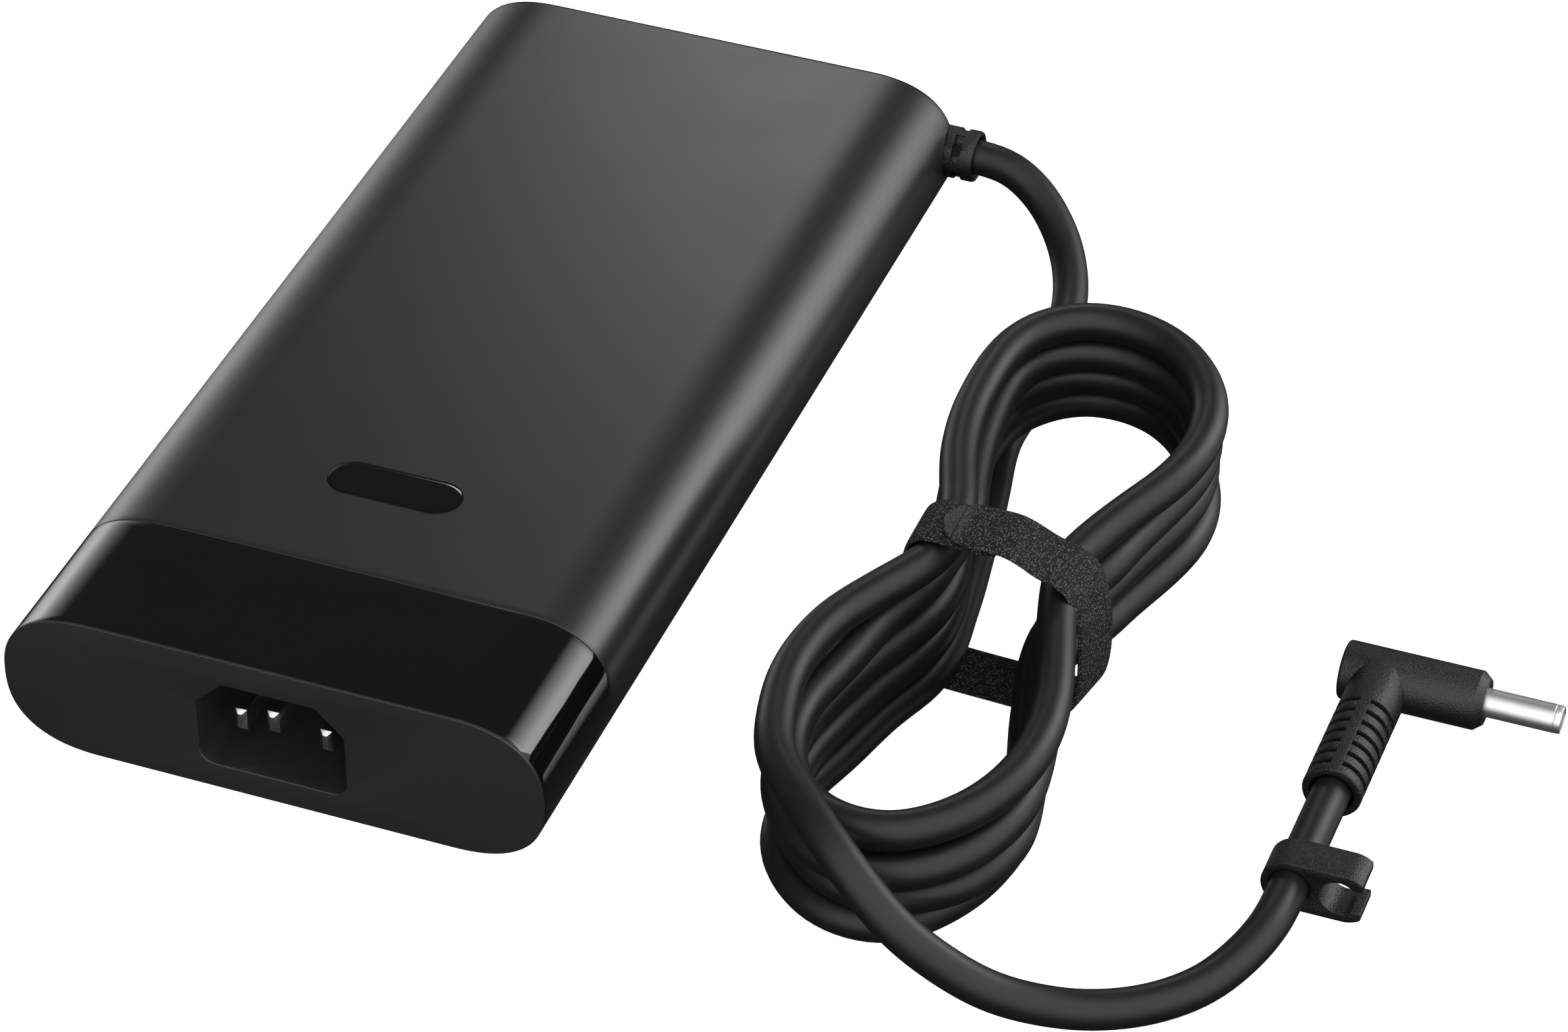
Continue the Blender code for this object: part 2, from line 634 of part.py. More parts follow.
def make_gland(finish):
    """The bush that holds the cord in the case: an inner key, a neck with windows and an end flange."""
    axis = Vector((1, 0, 0))
    inside = Vector((CASE_WIDTH / 2 - 3.2, GLAND_Y, MIDDLE))
    reach = GLAND_END - inside.x
    groove = reach - 2.3
    bore = CORD_RADIUS + 0.4
    profile = [
        (GLAND_RADIUS, 0), (GLAND_RADIUS, groove), (GLAND_RADIUS - 0.35, groove + 0.1),
        (GLAND_RADIUS - 0.35, groove + 0.6), (GLAND_FLANGE_RADIUS, groove + 0.7),
        (GLAND_FLANGE_RADIUS, reach - 0.5), (GLAND_FLANGE_RADIUS - 0.5, reach), (bore, reach),
        (bore, reach - 0.9),
    ]
    bush = turned_mesh(profile, inside, inside + axis * reach, 32)
    gland = new_object("cable_gland", bush, finish["moulding"])
    boolean(gland, helper_box("gland_key", *gland_key_box()), "UNION")
    first, last = inside.x + groove - 2.0, inside.x + groove - 0.5
    window = 2.5
    deep = GLAND_RADIUS - 1.1
    boolean(gland, helper_box(
        "front_window_cutter", (first, GLAND_Y - GLAND_RADIUS - 1, MIDDLE - window + 0.6),
        (last, GLAND_Y - deep, MIDDLE + window + 0.6),
    ))
    for name, side in (("upper", 1), ("lower", -1)):
        start, end = sorted((MIDDLE + side * deep, MIDDLE + side * (GLAND_RADIUS + 1)))
        boolean(gland, helper_box(
            f"{name}_window_cutter", (first, GLAND_Y - 1.2, start), (last, GLAND_Y + 1.2, end)
        ))


def turn_height(share):
    """How far a turn has risen at this share of its way round. It ends one cord's diameter higher."""
    low, high = TURN_RISES
    along = min(max((share - low) / (high - low), 0.0), 1.0)
    return 2 * CORD_RADIUS * along * along * (3 - 2 * along)


def coil_top(share):
    """The coil's upper surface: the last turn, and on the left the cord's tail on top of it."""
    under_tail = COIL_TOP - 2 * CORD_RADIUS + turn_height(share)
    start, end = TAIL_LEAVES
    leaving = min(max((share - start) / (end - start), 0.0), 1.0)
    if share < end:
        return under_tail + 2 * CORD_RADIUS * (1 - leaving)
    return under_tail


def make_cord(finish):
    turn = through([(x, y, 0) for x, y in TURN], closed=True, steps=2)
    count = len(turn)
    rings = [[], [], [], []]
    for i, point in enumerate(turn):
        heading = turn[(i + 1) % count] - turn[i - 1]
        outward = Vector((heading.y, -heading.x, 0)).normalized() * COIL_HALF
        top = coil_top(i / count)
        for ring, side, z in zip(rings, (-1, -1, 1, 1), (0.05, top, top, 0.05)):
            ring.append((point.x + side * -outward.x, point.y + side * -outward.y, z))
    coil = new_object("cord_coil", skin_mesh(rings, closed=True), finish["cord"])
    strap_zone = [
        strap_ring(-GAP, STRAP_FRONT - 0.6), strap_ring(12.0, STRAP_FRONT - 0.6),
        strap_ring(12.0, STRAP_REAR + 0.6), strap_ring(-GAP, STRAP_REAR + 0.6),
    ]
    boolean(coil, new_object("strap_zone_cutter", skin_mesh(strap_zone, closed=True), None, hidden=True))
    tube("cord_lead", spaced(through(LEAD_ROUTE), TUBE_STEP), CORD_RADIUS, finish["cord"], resolution=3)
    tube("cord_tail", spaced(through(TAIL_ROUTE), TUBE_STEP), CORD_RADIUS, finish["cord"], resolution=3)


def strap_ring(outward, y):
    """The strap's inner outline at y, moved outward."""
    line = through([(x, 0, z) for x, z in STRAP_INNER], closed=True, steps=2)
    ring = []
    for i, point in enumerate(line):
        heading = line[(i + 1) % len(line)] - line[i - 1]
        normal = Vector((-heading.z, 0, heading.x)).normalized()
        ring.append((point.x + normal.x * outward, y, point.z + normal.z * outward))
    return ring


def make_strap(finish):
    rings = [
        strap_ring(0, STRAP_FRONT), strap_ring(STRAP_THICK, STRAP_FRONT),
        strap_ring(STRAP_THICK, STRAP_REAR), strap_ring(0, STRAP_REAR),
    ]
    new_object("tie_strap", skin_mesh(rings, closed=True), finish["hook_and_loop"])


def make_clip(finish):
    """The clip has its origin on the cord's axis, along which it slides."""
    outline = []
    for step in range(17):
        angle = math.pi / 2 + math.pi * step / 16
        outline.append((PLUG_X + CLIP_RADIUS * math.cos(angle), PLUG_Z + CLIP_RADIUS * math.sin(angle)))
    stop = math.acos((CLIP_CUT_X - CLIP_END_X) / CLIP_RADIUS)
    for side in (-1, 1):
        for step in range(7):
            share = step / 6 if side < 0 else 1 - step / 6
            angle = side * (math.pi / 2 + (stop - math.pi / 2) * share)
            x, z = CLIP_END_X + CLIP_RADIUS * math.cos(angle), PLUG_Z + CLIP_RADIUS * math.sin(angle)
            outline.append((x, z))
    at = (PLUG_X, (CLIP_FRONT + CLIP_REAR) / 2, PLUG_Z)
    clip = new_object("cable_clip", prism_mesh(outline, CLIP_FRONT, CLIP_REAR), finish["moulding"], at=at)
    low, high = CLIP_FRONT - 1, CLIP_REAR + 1
    for name, x, radius in (("bore", PLUG_X, CLIP_BORE), ("slot", CLIP_SLOT_X, CLIP_SLOT_RADIUS)):
        boolean(clip, helper_cylinder(f"clip_{name}_cutter", (x, low, PLUG_Z), (x, high, PLUG_Z), radius))
    boolean(clip, helper_box(
        "clip_mouth_cutter", (CLIP_SLOT_X, low, PLUG_Z - CLIP_MOUTH_HALF),
        (CLIP_CUT_X + 2, high, PLUG_Z + CLIP_MOUTH_HALF),
    ))


def make_plug(finish):
    left, right = Vector((PLUG_LEFT, PLUG_Y, PLUG_Z)), Vector((PLUG_RIGHT, PLUG_Y, PLUG_Z))
    length, shoulder = PLUG_RIGHT - PLUG_LEFT, PLUG_SHOULDER - PLUG_LEFT
    bore = BARREL_RADIUS + GAP
    profile = [
        (PLUG_RADIUS - 0.6, 0), (PLUG_RADIUS - 0.15, 0.15), (PLUG_RADIUS, 0.6), (PLUG_RADIUS, shoulder),
        (PLUG_NOSE_RADIUS, length), (bore, length), (bore, length - 6.0),
    ]
    body = new_object("plug_body", turned_mesh(profile, left, right, 40), finish["moulding"])
    middle, end = Vector((PLUG_X, PLUG_Y, PLUG_Z)), Vector((PLUG_X, RELIEF_REAR + GAP, PLUG_Z))
    boolean(body, helper_cylinder("plug_elbow", middle, end, PLUG_RADIUS - 0.02, steps=40), "UNION")

    end = Vector((PLUG_X, RELIEF_FRONT, PLUG_Z))
    reach = RELIEF_REAR - RELIEF_FRONT
    bore = CORD_RADIUS + 0.35
    profile = [
        (bore, 1.2), (bore, 0), (PLUG_RADIUS - 0.3, 0), (PLUG_RADIUS, 0.3), (PLUG_RADIUS, reach)
    ]
    sleeve = turned_mesh(profile, end, end + Vector((0, reach, 0)), 32)
    relief = new_object("plug_strain_relief", sleeve, finish["moulding"])
    for slot in range(RELIEF_SLOTS):
        y = RELIEF_FIRST - slot * RELIEF_PITCH
        near, far = y - RELIEF_SLOT / 2, y + RELIEF_SLOT / 2
        outside = PLUG_RADIUS + 1
        ring = [(RELIEF_CORE, near), (outside, near), (outside, far), (RELIEF_CORE, far)]
        for hand, side in (("left", -1), ("right", 1)):
            cutter = half_ring_mesh(ring, side)
            boolean(relief, new_object(f"{hand}_slot_{slot}_cutter", cutter, None, hidden=True))

    face = PLUG_RIGHT - 5.6
    barrel_length = BARREL_TIP - face
    inner = BARREL_RADIUS - BARREL_WALL
    start = Vector((face, PLUG_Y, PLUG_Z))
    ring = barrel_length - 1.1
    profile = [
        (inner, 0), (BARREL_RADIUS, 0), (BARREL_RADIUS, ring), (BARREL_RADIUS - 0.12, ring + 0.12),
        (BARREL_RADIUS - 0.12, barrel_length - 0.2), (BARREL_RADIUS - 0.3, barrel_length),
        (inner, barrel_length),
    ]
    tip = start + Vector((barrel_length, 0, 0))
    new_object("plug_barrel", turned_mesh(profile, start, tip, 32, closed=True), finish["nickel"])
    core = inner - 0.05
    hole = 1.35
    mouth, floor = barrel_length - 0.8, barrel_length - 7.0
    profile = [(core, 0), (core, mouth), (hole, mouth), (hole, floor)]
    new_object("plug_insulator", turned_mesh(profile, start, tip, 28), finish["insulator"])
    pin = start + Vector((floor + GAP, 0, 0))
    radius, length = 0.35, 4.6
    profile = [(radius, 0), (radius, length - 0.4), (radius - 0.15, length)]
    pin_end = pin + Vector((length, 0, 0))
    new_object("plug_centre_pin", turned_mesh(profile, pin, pin_end, 12), finish["nickel"])


def half_ring_mesh(profile, side):
    """A ring round the plug's cord axis, from its upper web to its lower web on the side of -X or +X."""
    web = math.asin(RELIEF_WEB / 2 / PLUG_RADIUS)
    sweep = math.pi - 2 * web
    rings = []
    for step in range(13):
        angle = math.pi / 2 - side * (web + sweep * step / 12)
        rings.append([
            (PLUG_X + radius * math.cos(angle), y, PLUG_Z + radius * math.sin(angle)) for radius, y in profile
        ])
    return skin_mesh(rings, closed=False)


def make_materials():
    return {
        "satin_case": material("satin_case", (0.028, 0.028, 0.029), 0.42),
        "front_satin": material("front_satin", (0.020, 0.020, 0.021), 0.45),
        "gloss_band": material("gloss_band", (0.006, 0.006, 0.007), 0.08),
        "label": material("label", (0.05, 0.05, 0.052), 0.5),
        "moulding": material("moulding", (0.018, 0.018, 0.019), 0.5),
        "cord": material("cord", (0.012, 0.012, 0.013), 0.38),
        "hook_and_loop": material("hook_and_loop", (0.02, 0.02, 0.021), 0.9),
        "plated_blade": material("plated_blade", (0.75, 0.75, 0.76), 0.25, 1.0),
        "nickel": material("nickel", (0.72, 0.71, 0.70), 0.28, 1.0),
        "insulator": material("insulator", (0.02, 0.02, 0.02), 0.5),
        "board": material("board", (0.03, 0.13, 0.06), 0.45),
        "film": material("film", (0.80, 0.78, 0.70), 0.4),
        "aluminium": material("aluminium", (0.62, 0.63, 0.65), 0.35, 1.0),
        "ceramic": material("ceramic", (0.75, 0.73, 0.68), 0.4),
        "blue_lacquer": material("blue_lacquer", (0.04, 0.12, 0.35), 0.35),
        "yellow_box": material("yellow_box", (0.70, 0.52, 0.08), 0.4),
        "ferrite": material("ferrite", (0.06, 0.06, 0.065), 0.6),
        "copper": material("copper", (0.65, 0.28, 0.13), 0.35, 1.0),
        "tape": material("tape", (0.68, 0.60, 0.14), 0.4),
        "black_epoxy": material("black_epoxy", (0.02, 0.02, 0.02), 0.55),
        "can_sleeve": material("can_sleeve", (0.03, 0.05, 0.10), 0.35),
        "wire_black": material("wire_black", (0.02, 0.02, 0.02), 0.4),
        "wire_white": material("wire_white", (0.7, 0.7, 0.7), 0.4),
    }


def main():
    clear_scene()
    finish = make_materials()
    sleeve = make_case(finish)
    make_trim(sleeve, finish)
    make_inlet(finish)
    make_board(finish)
    make_mains_side(finish)
    make_primary(finish)
    make_secondary(finish)
    make_wires(finish)
    make_gland(finish)
    make_cord(finish)
    make_strap(finish)
    make_clip(finish)
    make_plug(finish)


main()
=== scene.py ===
"""The looks of the laptop power adapter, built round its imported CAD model.

Lengths are in millimetres until new_piece() turns them into metres. -Y faces the mains inlet, +X faces
the cord and +Z is up. The floor is at z = 0.
"""

import json
import math

import bmesh
import bpy
from mathutils import Matrix, Quaternion, Vector


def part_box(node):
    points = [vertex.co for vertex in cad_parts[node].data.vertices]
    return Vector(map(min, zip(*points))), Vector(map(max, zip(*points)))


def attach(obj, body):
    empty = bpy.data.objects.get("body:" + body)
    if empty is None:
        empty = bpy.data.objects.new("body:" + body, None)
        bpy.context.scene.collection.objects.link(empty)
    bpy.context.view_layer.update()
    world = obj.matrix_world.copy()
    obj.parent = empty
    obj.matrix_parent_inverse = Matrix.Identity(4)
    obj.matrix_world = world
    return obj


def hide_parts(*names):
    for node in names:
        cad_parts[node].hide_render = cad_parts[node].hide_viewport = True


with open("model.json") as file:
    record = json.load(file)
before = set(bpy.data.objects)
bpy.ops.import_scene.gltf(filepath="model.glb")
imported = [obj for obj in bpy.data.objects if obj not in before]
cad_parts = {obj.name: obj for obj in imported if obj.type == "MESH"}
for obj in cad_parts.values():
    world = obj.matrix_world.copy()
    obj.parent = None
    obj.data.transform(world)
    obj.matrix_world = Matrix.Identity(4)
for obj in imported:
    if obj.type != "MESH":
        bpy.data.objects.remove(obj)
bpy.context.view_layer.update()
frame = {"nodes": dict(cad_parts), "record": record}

MM = 0.001
BODY, CLIP_BODY = "adapter", "clip"


def box_mm(node):
    """The low and high corners of a CAD node's box, in millimetres."""
    low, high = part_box(node)
    return low / MM, high / MM


# The case, from the frame
SLEEVE_LOW, SLEEVE_HIGH = box_mm("body_sleeve")
CASE_WIDTH = SLEEVE_HIGH.x - SLEEVE_LOW.x
CASE_HEIGHT = SLEEVE_HIGH.z - SLEEVE_LOW.z
MIDDLE = CASE_HEIGHT / 2
FRONT = box_mm("front_plate")[0].y
REAR = SLEEVE_HIGH.y
CAP_END = box_mm("rear_cover")[1].y
WALL = 1.8

# The seam lies in the middle of the CAD's gap between the band and the sleeve
CAD_GAP = 0.3
SEAM = SLEEVE_LOW.y - CAD_GAP / 2

# The case's rounded sides are superellipses
SIDE_WIDTH, SIDE_POWER = 15.56, 2.43
CORNER_STEPS = 36

# The open line between two parts of the case, and the radii of their rounded edges
LINE = 0.08
SEAM_EDGE, REAR_EDGE, FACE_EDGE, MOUTH_EDGE = 0.12, 0.22, 0.18, 0.25

# Extra outlines this far from an edge keep long faces evenly shaded
EVEN_SHADING = 1.2

# The face plate: its thickness, its rim's depth and how far it steps in behind the rim
PLATE = 1.8
PLATE_RIM, PLATE_STEP = 0.3, 1.3

# The spigots inside the sleeve: the insets of their two faces, and their lengths
SPIGOT = 2.1
SPIGOT_INNER = SPIGOT + 1.2
BAND_SPIGOT, CAP_SPIGOT = 5.9, 5.0

# The rear cover's dome reaches this far in from the outline
DOME_REACH, DOME_STEPS = 7.2, 24

# The badge and the label lie in recesses with this much room round them
BADGE_ROOM, BADGE_DEPTH = 0.06, 1.1
LABEL_ROOM = 0.2

# Mains inlet
INLET_HALF = 12.1
INLET_LOW, INLET_HIGH = 4.6, 20.5
INLET_CHAMFER = 4.5
INLET_CORNER, INLET_TOP_CORNER = 2.4, 0.7
INLET_DEPTH = 17.0
INLET_WALL = 1.0
BLADES = ("line_blade", "neutral_blade", "earth_blade")
BLADE_TAPER = 0.65
BLADE_ROOM = 0.04

# Gland: its windows lie between two distances from its end, each with a bar across its middle
GLAND_LOW, GLAND_HIGH = box_mm("cable_gland")
GLAND_END = GLAND_HIGH.x
GLAND_Y, GLAND_Z = REAR - 0.6, MIDDLE + 0.4
GLAND_RADIUS = 4.43
GLAND_INSIDE = 5.0
GLAND_ROOM = 0.3
WINDOW_FAR, WINDOW_NEAR = 3.75, 2.15
WINDOW_HALF, WINDOW_BAR_HALF = 2.4, 1.1
WINDOW_RECESS, WINDOW_DEPTH = 1.1, 1.55

# Cord, from the gland to the plug
CORD_RADIUS = 3.0
REST = CORD_RADIUS + 0.05
RELIEF_FRONT = box_mm("plug_strain_relief")[0].y
PLUG_X, PLUG_Y, PLUG_Z = 148.8, -11.7, 4.7
LEAD_ROUTE = [
    (GLAND_END - 1.2, GLAND_Y, GLAND_Z), (52.5, 86.6, 12.9), (56.2, 86.0, 12.0), (61.4, 83.6, 9.7),
    (66.4, 78.8, 6.9), (69.7, 73.6, 5.0), (72.4, 66.5, 3.6), (74.2, 57.0, REST), (75.2, 47.0, REST),
    (75.0, 37.4, REST), (74.4, 28.0, REST), (75.1, 21.6, REST), (76.4, 15.8, REST), (77.9, 8.5, REST),
    (80.0, -3.4, REST), (81.8, -14.0, REST), (82.3, -18.5, REST),
]

# The coil: one turn seen from above, how many there are, the part of each over which the cord rises,
# and how many points of one more turn come before the tail
TURN = [
    (83.0, -25.9), (81.8, -34.5), (76.8, -43.5), (72.6, -54.5), (72.0, -67.5), (74.8, -78.0),
    (80.3, -85.4), (87.8, -89.2), (96.2, -88.2), (104.2, -82.5), (109.6, -73.4), (111.7, -63.5),
    (111.0, -53.2), (107.6, -43.6), (103.1, -34.5), (101.0, -25.9), (102.6, -18.1), (106.4, -10.6),
    (111.0, -1.8), (112.9, 6.5), (112.2, 15.1), (109.2, 22.2), (103.2, 28.1), (95.2, 31.1),
    (86.8, 30.7), (80.0, 26.2), (76.6, 17.6), (76.8, 3.0), (79.0, -8.9), (82.0, -17.9),
]
TURNS = 4
TURN_RISES = (0.25, 0.80)
LAST_TURN_STARTS = 5

TAIL_ROUTE = [
    (75.4, -80.6, 27.1), (78.5, -86.9, 27.0), (85.3, -94.1, 26.6), (92.4, -100.0, 24.7),
    (101.7, -103.9, 18.2), (109.2, -103.2, 12.0), (116.7, -101.4, 7.2), (124.7, -97.9, 4.0),
    (131.0, -95.0, REST), (137.3, -91.2, REST), (143.2, -84.8, 3.2), (146.8, -77.0, 3.8),
    (148.3, -72.0, 4.5), (PLUG_X, -68.0, PLUG_Z), (PLUG_X, -62.0, PLUG_Z), (PLUG_X, -51.0, PLUG_Z),
    (PLUG_X, RELIEF_FRONT + 1.2, PLUG_Z),
]
CORD_STEP = 1.5
CORD_EVENED = 6

# How far each turn, from the lowest up, lies inside the plan at these places along it
STATIONS = (
    0.5, 1.5, 3.0, 4.5, 6.0, 8.0, 9.5, 11.0, 12.5, 14.0, 16.0, 18.0, 21.0, 23.5, 25.5, 27.5, 29.2,
)
INWARD = (
    (0.4, 2.3, 4.5, 0.4, 0.1, -0.6, 2.7, 4.4, 6.3, 3.0, -1.7, 0.9, 0.8, -4.0, -1.8, -2.0, -0.7),
    (-0.3, 2.0, 3.7, 1.4, 1.7, -1.0, -1.5, 3.4, 6.0, 2.6, -1.2, 2.2, 1.0, -2.0, -0.5, -1.2, -0.6),
    (0.0, 1.8, 3.2, 0.9, -0.5, -2.9, -1.3, 2.3, 4.3, 0.5, -2.8, 1.2, 1.1, 0.1, 0.7, 1.9, 1.0),
    (-0.4, 1.0, 4.5, 1.9, 0.4, -0.8, 0.3, 1.4, 2.3, -0.2, -1.2, 0.1, 0.7, -0.2, 0.6, -0.4, -0.3),
    (1.0, 2.4, 1.5, 0.3, 0.0),
)

# Strap: its loop seen along Y. It leans with height, turns with x and splays on the right
STRAP_WIDTH, STRAP_THICK = 10.5, 0.8
STRAP_MIDDLE, STRAP_LEAN = -28.7, 0.08
STRAP_TURN, STRAP_TURN_X = 0.045, 102
STRAP_SPLAY, STRAP_SPLAY_UPPER = 0.19, 0.09
STRAP_SPLAY_X, STRAP_SPLAY_Z = (96, 107), (14, 22)
STRAP_LOOP = [
    (79.0, 3.0), (78.6, 10.0), (78.6, 20.0), (78.9, 26.2), (80.1, 29.3), (82.3, 30.6), (85.0, 30.7),
    (90.0, 30.6), (94.5, 30.8), (97.3, 30.2), (100.5, 28.9), (103.5, 28.1), (105.4, 26.6), (106.7, 24.2),
    (107.6, 20.4), (108.1, 16.2), (108.1, 11.0), (107.7, 6.5), (106.6, 2.8), (104.2, 1.0), (100.0, 0.6),
    (94.0, 0.6), (86.0, 0.6), (81.4, 0.9),
]
STRAP_STEP, STRAP_EVENED = 0.6, 3
STRAP_ACROSS = 16
STRAP_THIN_EDGE = 0.08

# The lap, on the loop's top side: its hidden end, its tip and the length over which it climbs
LAP_ABOVE = 29
LAP_HIDDEN_X, LAP_TIP_X = 93.5, 83.5
LAP_CLIMB, LAP_GAP = 9, 0.02
TIP_LENGTH = 5.5

# From the tip: the pressed part ends and the full knit starts, and the line across rises and falls
TIP_PRESSED, TIP_KNIT = 2.6, 4.6
TIP_LINE_START, TIP_LINE_MIDDLE, TIP_LINE_END = 2.3, 2.5, 2.7

# Clip
CLIP_LOW, CLIP_HIGH = box_mm("cable_clip")
CLIP_RADIUS = 4.37
CLIP_BORE = CORD_RADIUS + 0.12
CLIP_END_X, CLIP_CUT_X = 157.0, 159.8
CLIP_SLOT_X, CLIP_SLOT_RADIUS = 156.3, 2.9
CLIP_MOUTH_HALF = 2.1

# Right-angle plug
PLUG_RADIUS = 4.65
PLUG_LEFT, PLUG_SHOULDER, PLUG_RIGHT = 142.5, 163.8, 165.1
PLUG_NOSE_RADIUS = 3.6
BARREL_RADIUS, BARREL_WALL, BARREL_TIP = 2.25, 0.35, 176.9
PLUG_SOFT = 0.55
RELIEF_SLOTS, RELIEF_PITCH, RELIEF_SLOT = 7, 2.53, 1.0
RELIEF_FIRST = -22.9
RELIEF_WEB = 1.7
RELIEF_CORE = 3.15
BARREL_INSIDE = 5.0
CORE_HOLE, CORE_SHORT, CORE_DEPTH = 1.35, 0.8, 7.0
PIN_TIP = 0.5

# Camera: it looks at a point on the floor from this far away, turned and raised by these degrees
AIM = (46.9, -1.55, 0.0)
DISTANCE = 871.3
AZIMUTH, ELEVATION = 20.80, 38.48
LENS, SENSOR = 125.07, 36.0

# Light: the panels behind the object stand at this y. The room has one brighter wall on this side
BACK_PANELS_Y = 600
WALL_SIDE = (0.743, -0.669, 0.0)
ROOM_LIGHT, WALL_LIGHT = 0.10, 1.35
FLOOR_LIGHT = 0.88


# ---- geometry helpers


def in_scene(name, data):
    """A new object with this data."""
    made = bpy.data.objects.new(name, data)
    bpy.context.scene.collection.objects.link(made)
    return made


def object_of(name, bm):
    """An object in metres from a bmesh in millimetres."""
    bmesh.ops.scale(bm, vec=(MM, MM, MM), verts=bm.verts)
    bmesh.ops.recalc_face_normals(bm, faces=bm.faces)
    mesh = bpy.data.meshes.new(name)
    bm.to_mesh(mesh)
    bm.free()
    return in_scene(name, mesh)


def shade(mesh, sharp):
    """Smooth shading, but for edges that turn by more than sharp degrees."""
    mesh.shade_smooth()
    mesh.set_sharp_from_angle(angle=math.radians(sharp))


def new_piece(name, bm, finish, slot, replaces, body=BODY, sharp=32):
    """A piece from a bmesh, which rides on body and stands for the CAD nodes that it replaces."""
    made = object_of(name, bm)
    shade(made.data, sharp)
    made.data.materials.append(finish[slot])
    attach(made, body)
    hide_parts(*replaces)
    return made


def settle(piece, sharp=32):
    """Applies the piece's modifiers to its mesh."""
    graph = bpy.context.evaluated_depsgraph_get()
    piece_now = piece.evaluated_get(graph)
    mesh = bpy.data.meshes.new_from_object(piece_now, depsgraph=graph)
    piece.modifiers.clear()
    piece.data = mesh
    shade(mesh, sharp)


def cut(piece, *cutters, operation="DIFFERENCE"):
    """Cuts the bmesh cutters out of the piece, or joins them to it."""
    helpers = []
    for bm in cutters:
        helper = object_of("cutter", bm)
        modifier = piece.modifiers.new("cut", "BOOLEAN")
        modifier.operation = operation
        modifier.object = helper
        helpers.append(helper)
    settle(piece)
    for helper in helpers:
        bpy.data.objects.remove(helper, do_unlink=True)


def soften(piece, width, segments=3, angle=35):
    """Rounds the piece's sharp edges."""
    modifier = piece.modifiers.new("soft_edges", "BEVEL")
    modifier.width = width * MM
    modifier.segments = segments
    modifier.limit_method = "ANGLE"
    modifier.angle_limit = math.radians(angle)
    modifier.miter_outer = "MITER_ARC"
    settle(piece, sharp=50)


def skin_mesh(rings, closed):
    """Quads between each ring of points and the next, its ends joined if closed and capped if not."""
    bm = bmesh.new()
    loops = [[bm.verts.new(point) for point in ring] for ring in rings]
    pairs = list(zip(loops, loops[1:]))
    if closed:
        pairs.append((loops[-1], loops[0]))
    for first, second in pairs:
        for i in range(len(first)):
            j = (i + 1) % len(first)
            bm.faces.new((first[i], first[j], second[j], second[i]))
    if not closed:
        bm.faces.new(loops[0])
        bm.faces.new(loops[-1])
    return bm


def turned_mesh(profile, start, axis, steps=96, closed=False):
    """Spins a profile of (radius, distance along the axis) about the axis through start."""
    start, axis = Vector(start), Vector(axis)
    side = axis.orthogonal().normalized()
    other = axis.cross(side)
    rings = []
    for radius, along in profile:
        ring = []
        for step in range(steps):
            angle = 2 * math.pi * step / steps
            outward = side * math.cos(angle) + other * math.sin(angle)
            ring.append(start + axis * along + outward * radius)
        rings.append(ring)
    return skin_mesh(rings, closed)


def box_mesh(low, high):
    """A box between two corners."""
    bm = bmesh.new()
    bmesh.ops.create_cube(bm, size=1)
    low, high = Vector(low), Vector(high)
    bmesh.ops.scale(bm, vec=high - low, verts=bm.verts)
    bmesh.ops.translate(bm, vec=(low + high) / 2, verts=bm.verts)
    return bm


def prism_mesh(outline, low_y, high_y):
    """An outline of (x, z) points, extruded along Y."""
    return skin_mesh([[(x, y, z) for x, z in outline] for y in (low_y, high_y)], closed=False)


def rounded(corners, steps=8):
    """An outline of (x, z) points from corners given as (x, z, radius)."""
    outline = []
    count = len(corners)
    for i, (x, z, radius) in enumerate(corners):
        corner = Vector((x, z))
        before = (Vector(corners[i - 1][:2]) - corner).normalized()
        after = (Vector(corners[(i + 1) % count][:2]) - corner).normalized()
        half = before.angle(after) / 2
        centre = corner + (before + after).normalized() * (radius / math.sin(half))
        reach = radius / math.tan(half)
        start, end = corner + before * reach - centre, corner + after * reach - centre
        sweep = math.pi - 2 * half
        for step in range(steps + 1):
            share = step / steps
            point = start * math.sin((1 - share) * sweep) + end * math.sin(share * sweep)
            point = centre + point / math.sin(sweep)
            outline.append((point.x, point.y))
    return outline


def arc(centre, radius, first, last, steps):
    """Points (x, z) on an arc, its angles in degrees."""
    points = []
    for step in range(steps + 1):
        angle = math.radians(first + (last - first) * step / steps)
        points.append((centre[0] + radius * math.cos(angle), centre[1] + radius * math.sin(angle)))
    return points


def smooth_curve(points, step, closed=False):
    """Points about a step apart on a Catmull-Rom curve through the points."""
    points = [Vector(point) for point in points]
    count = len(points)

    def at(index):
        return points[index % count] if closed else points[min(max(index, 0), count - 1)]

    curve = []
    for i in range(count if closed else count - 1):
        before, start, end, after = at(i - 1), at(i), at(i + 1), at(i + 2)
        leave, arrive = (end - before) / 2, (after - start) / 2
        parts = max(round((end - start).length / step), 1)
        for part in range(parts):
            t = part / parts
            point = start * (2 * t**3 - 3 * t**2 + 1) + leave * (t**3 - 2 * t**2 + t)
            point += end * (3 * t**2 - 2 * t**3) + arrive * (t**3 - t**2)
            curve.append(point)
    if not closed:
        curve.append(points[-1])
    return curve


def evened(points, passes):
    """The points after a few passes of averaging with their neighbours, ends kept."""
    for _ in range(passes):
        inner = [(a + 2 * b + c) / 4 for a, b, c in zip(points, points[1:], points[2:])]
        points = [points[0], *inner, points[-1]]
    return points


def smoothstep(low, high, value):
    """0 up to low and 1 from high, with an even rise between them."""
    share = min(max((value - low) / (high - low), 0.0), 1.0)
    return share * share * (3 - 2 * share)


# ---- shader nodes


